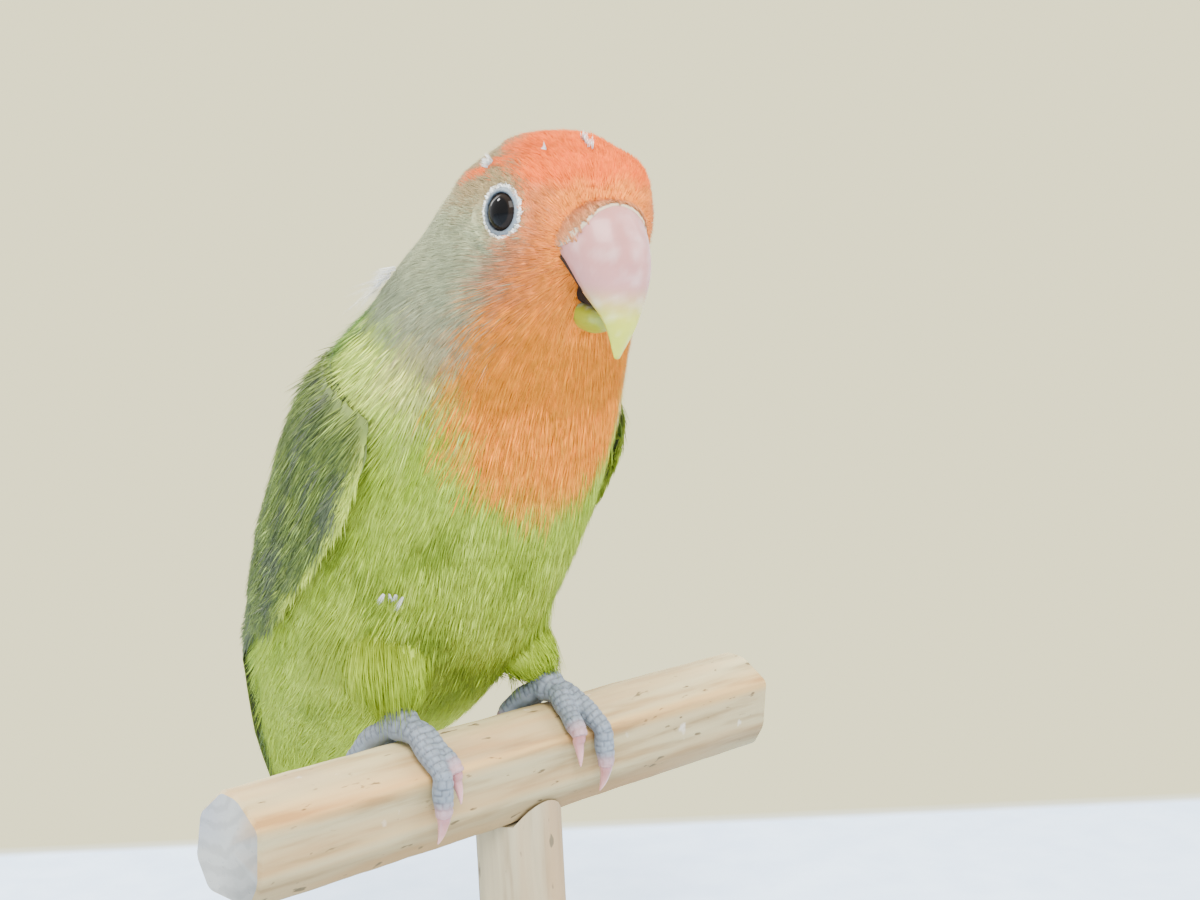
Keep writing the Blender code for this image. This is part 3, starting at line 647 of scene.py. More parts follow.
def coat_depth(t):
    """How thick the coat lies over the skin."""
    return BODY_DEPTH + (HEAD_DEPTH - BODY_DEPTH) * step(75, 95, t)


def skin_shells():
    """The body from the tail's root to a rounded crown, and the two thighs."""
    turns = np.arange(SKIN_SIDES) * 360 / SKIN_SIDES
    levels = np.linspace(SPINE[0] + 14, SPINE[-1], 90)
    rings = [body_points(t, turns, -coat_depth(t)) for t in levels]
    top = rings[-1]
    middle = top.mean(0)
    for a in np.radians((15, 30, 45, 60, 75, 86)):
        rings.append(middle + (top - middle) * math.cos(a) + np.array([0, 0, 1.5 * math.sin(a)]))
    shells = [closed_loft(rings)]
    for label in SIDES:
        pad, ankle, shin, knee = leg_line(label)
        fine = np.linspace(-0.06, 1, 14)
        path = [shin + (knee - shin) * s for s in fine]
        shells.append(tube(path, by_key(fine, THIGH) - THIGH_COAT, 24))
    return shells


def eye_place(side):
    """The eye's middle and the line it looks along."""
    centre = world(side * EYE_SIDE, HEAD_BACK + EYE_FORWARD, EYE_UP)
    turn = math.radians(EYE_TURN)
    axis = world(side * math.cos(turn), math.sin(turn), 0.06) - world(0, 0, 0)
    return centre, unit(axis)


SKIN, SKIN_FACES = fused(skin_shells(), SKIN_VOXEL, 4)


def sink_sockets(points):
    """Presses the skin in round each eye, so that the eyeball sits in the head."""
    for side in SIDES.values():
        centre, axis = eye_place(side)
        offset = points - centre
        high = offset @ axis
        spread = np.linalg.norm(offset - high[:, None] * axis, axis=1)
        floor = 1.6 + 0.35 * np.clip(spread - 3.0, 0, 9)
        press = (spread < 4.6) & (high > floor)
        drop = np.where(press, (high - floor) * (1 - step(3.4, 4.6, spread)), 0.0)
        points = points - drop[:, None] * axis
    return points


SKIN = sink_sockets(SKIN)


def body_lookup():
    """A search tree of places on the body, and the level and angle of each."""
    levels = np.linspace(SPINE[0], SPINE[-1], 140)
    angles = np.arange(-180, 180, 4.0)
    tree = KDTree(len(levels) * len(angles))
    keys = []
    for t in levels:
        for angle, point in zip(angles, body_points(t, angles, -0.8)):
            tree.insert(point, len(keys))
            keys.append((t, angle))
    tree.balance()
    return tree, np.array(keys)


LOOKUP, LOOKUP_KEYS = body_lookup()


def body_keys(points):
    """Level along the spine and angle round it of each point."""
    return LOOKUP_KEYS[[LOOKUP.find(p)[1] for p in points]].T


BODY_U = (0.02, 0.80)
THIGH_U = {"right": 0.86, "left": 0.94}


def bake_places(points, t, angle):
    """Places on an unwrap of the skin: round the body across and up the body, with each thigh beside it."""
    across = BODY_U[0] + (angle + 180) / 360 * (BODY_U[1] - BODY_U[0])
    up = 0.03 + 0.94 * (t - SPINE[0]) / (SPINE[-1] - SPINE[0])
    for label in SIDES:
        share, spread, apart = on_leg(points, label)
        inside = (share < 0.75) & (apart < THIGH_REACH)
        turn = np.arctan2(spread[:, 0], -spread[:, 1]) / np.pi
        across = np.where(inside, THIGH_U[label] + 0.03 * turn, across)
        up = np.where(inside, 0.1 + 0.8 * np.clip(share, -0.1, 1), up)
    return np.stack([across, up], axis=1)


# Plumage colours

FOREHEAD = np.array((0.95, 0.15, 0.012))
FACE = np.array((0.74, 0.22, 0.065))
CHEEK = np.array((0.42, 0.26, 0.15))
THROAT = np.array((1.0, 0.28, 0.015))
BIB_EDGE = np.array((0.74, 0.38, 0.03))
NAPE = np.array((0.37, 0.385, 0.22))
CROWN_OLIVE = np.array((0.34, 0.25, 0.12))
BELLY = np.array((0.33, 0.45, 0.02))
BELLY_PALE = np.array((0.50, 0.60, 0.08))
BELLY_DEEP = np.array((0.19, 0.265, 0.02))
SHOULDER = np.array((0.60, 0.72, 0.11))
BACK = np.array((0.12, 0.22, 0.04))
RUMP = np.array((0.03, 0.16, 0.45))
UNDERTAIL = np.array((0.35, 0.45, 0.03))
WHITE = np.array((0.88, 0.87, 0.80))
NECK_BUFF = np.array((0.62, 0.46, 0.22))
# How far round from the front the orange reaches, by level along the body
BIB = ((57, -14), (61, 6), (64, 24), (68, 36), (73, 44), (77, 48), (84.5, 52), (89.4, 58), (94.3, 65), (97, 61),
       (100, 56), (102, 58), (105, 66), (107, 84))


def field(points, size, seed):
    """Smooth noise from -1 to 1 at each point, with features of this size in mm."""
    shift = Vector((seed * 17.3, seed * 5.1, seed * 9.7))
    return np.array([noise.noise(Vector(p) / size + shift) for p in points])


def blend(first, second, share):
    return first + (second - first) * np.asarray(share)[..., None]


def streaks(t, angle, seed):
    """Noise from -1 to 1 drawn out along the lie of the feathers."""
    return np.array([noise.noise(Vector((a * 0.16 + seed, b * 0.07, seed * 3.1))) for b, a in zip(t, angle)])


def plumage(points, t, angle):
    """The coat's colour at each point."""
    wide = field(points, 9.0, 1)
    fine = field(points, 2.5, 2)
    drawn = streaks(t, angle, 1)
    turn = np.abs(angle) + 7 * wide + 6 * fine + 8 * drawn
    level = t + 1.6 * wide + 1.2 * fine + 1.5 * drawn
    right, forward, up = to_bird(points)
    ahead = forward - HEAD_BACK
    green = blend(BELLY, BELLY_PALE, 0.45 + 0.75 * np.clip(0.7 * drawn + 0.5 * fine, -0.6, 0.7))
    green = blend(green, BELLY_DEEP, step(0.0, 0.5, wide - 0.4 * drawn) * 0.8 * step(72, 62, level))
    green = blend(green, UNDERTAIL, step(16, 4, level))
    green = blend(green, BACK, step(92, 128, turn) * step(-4, 10, level))
    green = blend(green, RUMP, step(120, 145, turn) * step(26, 20, level) * step(-16, -6, level))
    green = blend(green, SHOULDER, step(56, 72, turn) * step(126, 100, turn) * step(60, 70, level))
    nape = blend(NAPE, CROWN_OLIVE, step(97, 102, level) * step(150, 100, turn))
    nape = blend(nape, BACK * 1.4, 0.5 * step(96, 82, level) * step(120, 165, turn))
    colour = blend(green, nape, step(76, 82, level))
    buff = step(44, 56, turn) * step(92, 74, turn) * step(69, 74, level) * step(88, 80, level)
    colour = blend(colour, NECK_BUFF, buff * (0.35 + 0.5 * step(-0.4, 0.4, wide + 0.5 * drawn)))
    orange = step(8, -8, turn - by_key(level, BIB)) * step(56, 60, level)
    warm = blend(BIB_EDGE, THROAT, step(62, 69, level))
    side = step(22, 50, np.abs(angle) + 10 * fine)
    warm = blend(warm, FACE, step(84, 93, level) * (0.35 + 0.65 * side))
    cheek = step(86, 93, level) * step(101, 98, level) * step(40, 62, np.abs(angle) + 8 * drawn)
    warm = blend(warm, CHEEK, cheek * 0.85)
    warm = blend(warm, FOREHEAD, step(81.6, 84.0, up + 0.9 * fine) * step(97, 100, t))
    colour = blend(colour, warm, orange)
    stripe = np.array([noise.noise(Vector((r * 1.1, f * 0.22, 5.5))) for r, f in zip(right, forward)])
    crown = step(83.0, 84.4, up) * step(0.05, 0.25, stripe + 0.2 * fine) * step(118, 98, np.abs(angle))
    return blend(colour, FOREHEAD, 0.9 * crown * (1 - orange))


SKIN_KEYS = body_keys(SKIN)
# The skin takes the coat's colours, darkened by painted shade where the feathers cover it.
show("body_skin", (SKIN, SKIN_FACES, plumage(SKIN, *SKIN_KEYS) * 0.8, bake_places(SKIN, *SKIN_KEYS)), UNDERCOAT,
     "body_feathers", "torso", "neck", "head", "leg_right", "leg_left")
SKIN_TREE = BVHTree.FromPolygons([tuple(p) for p in SKIN], [tuple(f) for f in SKIN_FACES])


# Strands: each is a narrow tapered blade, and a few make one small feather

LONG_BLADE = np.array([(0, 1, 4), (0, 4, 3), (1, 2, 5), (1, 5, 4), (2, 0, 3), (2, 3, 5), (3, 4, 6), (4, 5, 6),
                       (5, 3, 6), (0, 2, 1)])
SHORT_BLADE = np.array([(0, 1, 3), (1, 2, 3), (2, 0, 3), (0, 2, 1)])
STRAND_THICK = 0.18


def strands(root, ahead, normal, length, fall, width, spread, low, high, tint, place, count, short=False):
    """Points, triangles, colours and bake places of small feathers, count strands in each.

    fall is how far the skin drops away under the feather's tip, and low and high how proud its root and tip are."""
    n = len(root)
    length, fall, spread, low, high = (np.broadcast_to(v, n)[:, None] for v in (length, fall, spread, low, high))
    side = unit(np.cross(normal, ahead))
    k = np.linspace(-1, 1, count)[None, :]
    jitter = RNG.normal(size=(5, n, count))
    size = length * (1 - 0.22 * k**2) * (1 + 0.1 * jitter[0])
    start = spread * 0.35 * k
    end = spread * (0.9 * k + 0.22 * jitter[1])
    low = low + 0.06 * jitter[2]
    high = high * (1 + 0.25 * jitter[3]) - 0.12 * high * k**2
    wide = width * (1 + 0.25 * jitter[4])

    def at(v):
        return (root[:, None] + side[:, None] * (start + (end - start) * v)[..., None]
                + ahead[:, None] * (size * v)[..., None]
                + normal[:, None] * (fall * v * v + low + (high - low) * v)[..., None])

    out = normal[:, None]
    across = side[:, None] * (wide / 2)[..., None]
    points = []
    for v, share in (((0.0, 1.0),) if short else ((0.0, 1.0), (0.55, 0.85))):
        middle = at(v)
        ridge = middle + out * (STRAND_THICK * wide)[..., None] * share
        points += [middle - across * share, ridge, middle + across * share]
    points.append(at(1.0))
    points = np.stack(points, axis=2)
    v = np.array([0, 0, 0, 1.0] if short else [0, 0, 0, 0.55, 0.55, 0.55, 1.0])
    size = len(v)
    # Painted shade darkens each strand towards its root, where the coat shades it; the paler tip is the feathers' own
    # colour.
    root_shade_pale_tip = np.interp(v, (0, 0.55, 1), (0.81, 1.0, 1.14))
    vary = 1 + 0.09 * RNG.normal(size=(n, count, 1, 1))
    tint = tint[:, None, None, :] * root_shade_pale_tip[None, None, :, None] * vary
    uv = np.empty((n, count, size, 2))
    uv[..., 0] = place[:, None, None, 0] + 0.0013 * k[..., None]
    uv[..., 1] = place[:, None, None, 1] - 0.0015 + 0.003 * v
    total = n * count
    blade = SHORT_BLADE if short else LONG_BLADE
    triangles = (blade[None] + np.arange(total)[:, None, None] * size).reshape(-1, 3)
    return points.reshape(-1, 3), triangles, np.clip(tint.reshape(-1, 3), 0, 1), uv.reshape(-1, 2)


ROOT_ROW = 1.2


def spread_roots(points, faces, keys, density):
    """Evenly spread places on a skin: how many per square mm is given for each face."""
    corners = points[faces]
    area = 0.5 * np.linalg.norm(np.cross(corners[:, 1] - corners[:, 0], corners[:, 2] - corners[:, 0]), axis=1)
    t, angle = keys[:, faces[:, 0]]
    row = np.floor(t / ROOT_ROW)
    order = np.lexsort((angle * np.where(row % 2 == 0, 1, -1), row))
    weight = np.cumsum((area * density)[order])
    count = int(weight[-1])
    picks = (np.arange(count) + RNG.random(count)) / count * weight[-1]
    chosen = order[np.minimum(np.searchsorted(weight, picks), len(order) - 1)]
    a, b = RNG.random((2, count))
    fold = a + b > 1
    a[fold], b[fold] = 1 - a[fold], 1 - b[fold]
    c = corners[chosen]
    return c[:, 0] + a[:, None] * (c[:, 1] - c[:, 0]) + b[:, None] * (c[:, 2] - c[:, 0]), chosen


def face_normals(points, faces):
    corners = points[faces]
    normals = unit(np.cross(corners[:, 1] - corners[:, 0], corners[:, 2] - corners[:, 0]))
    outward = (normals * (corners.mean(1) - points.mean(0))).sum() >= 0
    return normals if outward else -normals


FACE_NORMALS = face_normals(SKIN, SKIN_FACES)
BILL_SOURCE = world(0.0, HEAD_BACK + 14.0, 74.0)


def spine_direction(t):
    """The way down the body at each level."""
    back, up = sections(t)[:2]
    back2, up2 = sections(t - 1.5)[:2]
    return unit(world(0, -back2, up2) - world(0, -back, up))


def lie(points, normals, t):
    """The way feathers lie: back from the bill on the head, down the body below it, and down each thigh."""
    head = unit(points - BILL_SOURCE)
    body = spine_direction(t)
    way = blend(body, head, step(80, 93, t))
    for label in SIDES:
        pad, ankle, shin, knee = leg_line(label)
        share, spread, apart = on_leg(points, label)
        near = (1 - step(5.5, 8.5, apart)) * (1 - step(0.55, 1.0, share)) * (share > -0.3)
        way = blend(way, unit(shin - knee), near)
    way = way + 0.16 * np.stack([field(points, 5.0, s) for s in (4, 5, 6)], axis=1)
    for side in SIDES.values():
        away, high, spoke = round_eye(points, side)
        inward = np.minimum((way * spoke).sum(1), 0)
        way = way - (1.3 * inward * step(8.0, 4.5, away) * (high > 0))[:, None] * spoke
    return unit(way - (way * normals).sum(1)[:, None] * normals)


def settled(points, ahead, normals, length):
    """How far the skin falls away under each feather's tip."""
    falls = np.empty(len(points))
    ends = points + ahead * length[:, None]
    for i, end in enumerate(ends):
        hit = SKIN_TREE.find_nearest(end)
        falls[i] = (np.array(hit[0]) - end) @ normals[i]
    return np.clip(falls, -0.6 * length, 0.5 * length)


def round_eye(points, side):
    """How far each point is from the line an eye looks along, how far out along it, and the way from it."""
    centre, axis = eye_place(side)
    offset = points - centre
    high = offset @ axis
    spoke = offset - high[:, None] * axis
    return np.linalg.norm(spoke, axis=1), high, unit(spoke)


# By level: how far round from the front a folded wing starts; feathers in a square mm; their length; how wide
# a strand is, and how far a feather's strands spread
WING_FRONT = ((-25, 150), (0, 124), (34, 98), (47, 84), (58, 76), (70, 82))
COAT_DENSITY = ((-30, 1.1), (20, 1.3), (60, 1.5), (80, 2.5), (90, 3.8), (98, 4.6))
COAT_LENGTH = ((-30, 9.0), (0, 8.5), (30, 8.0), (60, 7.5), (76, 6.6), (86, 5.2), (94, 3.4), (101, 2.4), (107, 2.3))
STRAND_WIDTH = ((0, 0.26), (60, 0.24), (85, 0.19), (100, 0.16))
STRAND_SPREAD = ((0, 1.7), (60, 1.5), (85, 0.9), (100, 0.55))
# Half the width of the bare place under the bill, by height
UNDER_BILL = ((64, 2.6), (70, 2.2), (78, 3.6))
COVERED_DENSITY = 0.25
COAT_STRANDS = 6
HEAD_REGIONS = ("crown", "face", "nape")
REGIONS = ("crown", "face", "nape", "throat", "mantle", "breast", "back", "belly", "rump", "undertail")


def wing_front(t):
    return by_key(t, WING_FRONT)


def covered(t, angle):
    """Where a folded wing hides the body."""
    turn = np.abs(angle)
    return (t > -20) & (t < 66) & (turn > wing_front(t) + 9) & (turn < 158)


def region_names(t, angle):
    """The name in REGIONS of the part of the coat that each feather is in."""
    turn = np.abs(angle)
    return np.select([t > 98, (t > 88) & (turn < 80), t > 80, (t > 60) & (turn < 60), t > 62,
                      (t > 36) & (turn < 90), t > 36, (t > 10) & (turn < 90), t > 10], REGIONS[:-1], REGIONS[-1])


def coat_density():
    """Feathers in a square mm for each face of the skin: none at the tail's root, the eyes, the shins and the bill."""
    centre = SKIN[SKIN_FACES].mean(1)
    t = SKIN_KEYS[0][SKIN_FACES].mean(1)
    angle = SKIN_KEYS[1][SKIN_FACES][:, 0]
    density = np.where(covered(t, angle), COVERED_DENSITY, by_key(t, COAT_DENSITY))
    bare = t < SPINE[0] + 15.5
    for side in SIDES.values():
        away, high, spoke = round_eye(centre, side)
        bare |= (away < 3.3) & (high > 0)
    for label in SIDES:
        share, spread, apart = on_leg(centre, label)
        bare |= (share < 0.06) & (apart < 5.0)
    right, forward, up = to_bird(centre)
    bare |= (np.abs(right) < by_key(up, UNDER_BILL)) & (forward - HEAD_BACK > 9.0) & (up > 63.5) & (up < 79)
    return np.where(bare, 0.0, density)


def coat():
    """Small feathers over the whole skin, in pieces by region."""
    root, face = spread_roots(SKIN, SKIN_FACES, SKIN_KEYS, coat_density())
    count = len(root)
    normal = FACE_NORMALS[face]
    t, angle = body_keys(root)
    way = lie(root, normal, t)
    right, forward, up = to_bird(root)
    muzzle = step(8, 13, forward - HEAD_BACK) * step(66, 70, up)
    length = by_key(t, COAT_LENGTH)
    length *= (1 - 0.35 * muzzle) * RNG.uniform(0.8, 1.2, count)
    for side in SIDES.values():
        away, high, spoke = round_eye(root, side)
        length *= np.where(high > 0, np.clip((away - 2.2) / 3.5, 0.4, 1), 1)
    fall = settled(root, way, normal, length)
    mantle = step(60, 66, t) * step(82, 74, t) * step(56, 74, np.abs(angle))
    near_wing = np.abs(np.abs(angle) - wing_front(t) + 2)
    flank = step(14, 6, near_wing) * step(-24, -10, t) * step(40, 30, t)
    # thigh is the leg itself, and drape the looser belly feathers that hang over its top
    thigh = np.zeros(count)
    drape = np.zeros(count)
    for label in SIDES:
        pad, ankle, shin, knee = leg_line(label)
        share, spread, apart = on_leg(root, label)
        length *= np.where(apart < THIGH_REACH, np.interp(share, (0.0, 0.35), (0.35, 1.0)), 1)
        thigh = np.maximum(thigh, step(7.5, 6.0, apart) * step(0.9, 0.6, share))
        offset = root - (knee + (shin - knee) * 0.2)
        drape = np.maximum(drape, step(11.5, 7.0, np.linalg.norm(offset, axis=1)) * step(-3.0, 1.0, offset[:, 2]))
    length *= 1 + 0.6 * drape
    width = by_key(t, STRAND_WIDTH)[:, None] * (1 - 0.3 * np.maximum(drape, thigh))[:, None]
    spread = by_key(t, STRAND_SPREAD)
    low = np.full(count, -0.08)
    high = coat_depth(t) * RNG.uniform(0.55, 0.95, count) + (1.6 * mantle + 1.5 * flank + 1.2 * drape)
    mixed = RNG.normal(size=(2, count))
    seen = root + way * (0.6 * length)[:, None]
    seen_t, seen_angle = body_keys(seen)
    tint = plumage(seen, seen_t + 1.3 * mixed[0], seen_angle + 4.5 * mixed[1])
    # Painted shade: the thigh's strands take a darkened belly green, and the strands that drape over it are darkened a
    # little.
    tint = blend(tint, BELLY * 0.8, 0.8 * thigh) * (1 - 0.14 * drape)[:, None]
    tint = tint * (1 + 0.06 * RNG.normal(size=(count, 1)))
    place = bake_places(root, t, angle)
    names = region_names(t, angle)
    feathers = (root, way, normal, length, fall, width, spread, low, high, tint, place)
    for name in REGIONS:
        on_head = name in HEAD_REGIONS
        made = strands(*(values[names == name] for values in feathers), COAT_STRANDS, short=on_head)
        show("plumage_" + name, made, FEATHER, "face_feathers" if on_head else "body_feathers")


coat()

# Tufts: level, angle, strand groups, their length, how far they scatter and how much they rise
TUFTS = ((86, 118, 12, 4.0, 0.8, 1.0), (83, 124, 9, 7.0, 0.9, 0.7), (45, 44, 4, 2.4, 0.6, 0.08),
         (105.4, 84, 12, 1.4, 0.22, 0.3), (106.6, 42, 5, 0.8, 0.15, 0.3), (107.3, 4, 9, 1.5, 0.5, 0.05))


def tufts():
    """Loose white down at the nape and on the belly, and waxy pin sheaths on the crown."""
    made = []
    for level, turn, count, size, spread, rise in TUFTS:
        t = level + 0.9 * spread * RNG.normal(size=count)
        angle = turn + 3.0 * spread * RNG.normal(size=count)
        root = body_points(t, angle, 0.1)
        normal = unit(body_points(t, angle, 1.0) - body_points(t, angle, -1.0))
        way = lie(root, normal, t)
        ahead = unit(way + rise * normal + 0.35 * RNG.normal(size=root.shape))
        normal = unit(normal - (normal * ahead).sum(1)[:, None] * ahead)
        length = size * RNG.uniform(0.6, 1.1, count)
        tint = WHITE * 0.8 * (1 + 0.04 * RNG.normal(size=(count, 1)))
        made.append(strands(root, ahead, normal, length, -0.12 * length, 0.065, 0.18 * size, 0.1, 0.5, tint,
                            bake_places(root, t, angle), 7))
    show("down_tufts", gather(made), FEATHER, "body_feathers")


tufts()


# Wings

PLAIN_PLACE = 0.985
LAST_ANGLE = 174.0
WING_TURN = {"right": 0.0, "left": 1.5}
WING_CORE = ((0.0, 80, 150), (0.25, 72, 162), (0.5, 77, 166), (0.8, 89, 164), (1.0, 100, 158))
CORE_TOP = 70.0
CORE_END = 24.0
# Each tier: feathers in it; level and angle of root and tip, for the front feather and the back one; width;
# how proud it is at root and tip; how much a feather leans; how pointed it is
WING_TIERS = (
    ("primaries", 10, (34, 94, -25, 152), (34, 120, 8, 164), 5.0, (1.0, 1.7), 0.3, 0.8),
    ("secondaries", 10, (46, 82, 29, 92), (44, 142, 8, 162), 5.4, (1.2, 1.9), 0.4, 0.35),
    ("greater_coverts", 12, (57, 75, 40, 82), (54, 142, 25, 150), 4.6, (1.5, 2.3), 0.35, 0.3),
    ("median_coverts", 11, (62, 72, 49, 76), (60, 140, 38, 146), 4.6, (1.6, 2.5), 0.35, 0.3),
    ("lesser_coverts", 10, (67, 73, 56, 74), (64, 136, 47, 142), 4.8, (1.6, 2.5), 0.35, 0.3),
    ("marginal_coverts", 9, (70, 77, 62, 74), (68, 134, 55, 140), 5.0, (1.3, 2.3), 0.35, 0.3),
    ("scapulars", 6, (65, 148, 30, 150), (67, 168, 38, 167), 5.4, (1.2, 2.9), 0.35, 0.5),
)
VANE_ROWS = 12
VANE_COLUMNS = 9
VANE_THICK = 0.11
VANE_RAGGED = 0.05
BARB_COUNT = 6400
EDGE_SHARE = 0.16
BARB_WIDTH = 0.24
BARB_SIGHT = 6.0
WING_DARK = np.array((0.075, 0.10, 0.035))
WING_GREEN = np.array((0.155, 0.205, 0.04))
WING_EDGE = np.array((0.50, 0.60, 0.07))
FLIGHT_DARK = np.array((0.03, 0.035, 0.028))
WING_GREY = np.array((0.10, 0.11, 0.07))
WING_PALE = np.array((0.30, 0.40, 0.08))


def vane(place, pointed):
    """Points of a feather's two faces and their triangles. place(v, s, out) gives points for arrays."""
    v = np.linspace(0, 1, VANE_ROWS) ** 0.85
    s = np.linspace(-1, 1, VANE_COLUMNS)
    body = np.interp(v, (0, 0.15, 0.45, 0.75, 1.0), (0.45, 0.75, 1.0, 0.96, 0.6 - 0.45 * pointed))
    tip = np.sqrt(np.clip(1 - ((v - 0.86) / 0.14).clip(0) ** 2, 0.02, 1))
    width = body * tip
    uneven = VANE_RAGGED * RNG.normal(size=(VANE_ROWS, VANE_COLUMNS)) * (np.abs(s) > 0.6)
    sides = width[:, None] * s[None, :] * (1 + uneven)
    shape = 1 - np.abs(s) ** 2
    points = []
    for face in (1, -1):
        shaft = (face > 0) * 0.07 * (np.abs(s) < 0.1)
        out = 0.2 * shape[None] + face * (0.03 + VANE_THICK * 0.5 * shape[None]) + shaft
        points.append(place(np.repeat(v[:, None], VANE_COLUMNS, 1), sides, np.repeat(out, VANE_ROWS, 0)))
    points = np.concatenate([p.reshape(-1, 3) for p in points])
    triangles = sheet_triangles(VANE_ROWS, VANE_COLUMNS)
    grid_v = np.tile(np.repeat(v, VANE_COLUMNS), 2)
    grid_s = np.tile(np.tile(s, VANE_ROWS), 2)
    return points, turned_out(points, triangles), grid_v, grid_s


def wing_angle(label, angle):
    """The body's angle for an angle on a wing, which counts from the front on both sides."""
    turned = np.minimum(np.asarray(angle) + WING_TURN[label], LAST_ANGLE)
    return turned if label == "right" else -turned


def wing_core(label):
    """The wing's plain inside, which the vanes cover."""
    rows = 16
    columns = 12
    v = np.linspace(0, 1, rows)[:, None]
    u = np.linspace(0, 1, columns)[None, :]
    t = CORE_TOP + (CORE_END - CORE_TOP) * v
    keys, fronts, backs = zip(*WING_CORE)
    front = np.interp(v, keys, fronts)
    angle = wing_angle(label, front + (np.interp(v, keys, backs) - front) * u)
    bulge = np.sqrt(np.sin(np.pi * u) * np.sin(np.pi * (0.06 + 0.88 * v)))
    points = np.concatenate([body_points(t, angle, out).reshape(-1, 3) for out in (0.45, 0.7 + 0.8 * bulge)])
    triangles = turned_out(points, sheet_triangles(rows, columns, turned=True))
    return points, triangles, plain(WING_DARK, points), np.full((len(points), 2), PLAIN_PLACE)


def wing(label):
    """Tiers of vanes over the arm, each tinted dark in its middle and yellow-green at its rim."""
    parts = [wing_core(label)]
    total = sum(tier[1] for tier in WING_TIERS)
    cells = math.ceil(math.sqrt(total))
    index = 0
    for name, count, first, last, width, proud, lean, pointed in WING_TIERS:
        for i in range(count):
            share = i / (count - 1)
            root_t, root_angle, tip_t, tip_angle = (a + (b - a) * share for a, b in zip(first, last))
            tip_t += RNG.uniform(-1.2, 1.2)
            tip_angle += RNG.uniform(-1.2, 1.2)
            bow = 0.5 + 0.2 * RNG.random()

            def place(v, s, out):
                t = root_t + (tip_t - root_t) * v
                half, front, rear = sections(t)[3:6]
                angle = root_angle + (tip_angle - root_angle) * v + np.degrees(s * width / (half + rear))
                lift = proud[0] + (proud[1] - proud[0]) * v + bow * np.sin(np.pi * v) + out - lean * s
                return body_points(t, wing_angle(label, angle), np.maximum(lift, 0.45))

            points, triangles, v, s = vane(place, pointed)
            rim = np.abs(s) ** 3 * step(0.1, 0.5, v) + step(0.86, 1.0, v) * 0.7
            flight = name == "primaries" or (name == "secondaries" and share < 0.3)
            middle = FLIGHT_DARK if flight else blend(WING_DARK, WING_GREEN, RNG.uniform(0.1, 0.9))
            outer = blend(WING_EDGE, middle, 0.7 if flight else 0.6)
            tint = blend(middle, outer, np.clip(rim, 0, 1))
            front = step(0.12, 0.0, share)
            band = name in ("secondaries", "greater_coverts", "median_coverts")
            tint = blend(tint, WING_EDGE, 0.85 * front * step(-0.45, -0.8, s) * band)
            tint = tint * (1 + 0.05 * RNG.normal()) * (1 - 0.25 * (np.abs(s) < 0.1))[:, None]
            uv = np.stack([(index % cells + 0.5 + 0.42 * s) / cells, (index // cells + 0.05 + 0.9 * v) / cells], 1)
            parts.append((points, triangles, np.clip(tint, 0, 1), uv * 0.97))
            index += 1
    made = gather(parts)
    show("wing_feathers_" + label, made, VANE, "wing_feathers", "wing_" + label)
    wing_strands(label, made[0], made[1])


def cast(surface, outer, inner):
    """Where the ray from each outer place to its inner one first meets a surface, or None."""
    return [surface.ray_cast(Vector(a), Vector(unit(b - a)))[0] for a, b in zip(outer, inner)]


def leading_edge(surface, label):
    """Levels, and the angle at which a wing's own surface starts at each."""
    levels = np.arange(16.0, 73.0, 1.5)
    starts = []
    for t in levels:
        turns = wing_front(t) - 16 + np.arange(0, 40, 0.5)
        outer = body_points(t, wing_angle(label, turns), 7.0)
        inner = body_points(t, wing_angle(label, turns), -0.5)
        hits = [place is not None for place in cast(surface, outer, inner)]
        starts.append(turns[int(np.argmax(hits))] if any(hits) else turns[-1])
    return levels, np.array(starts)


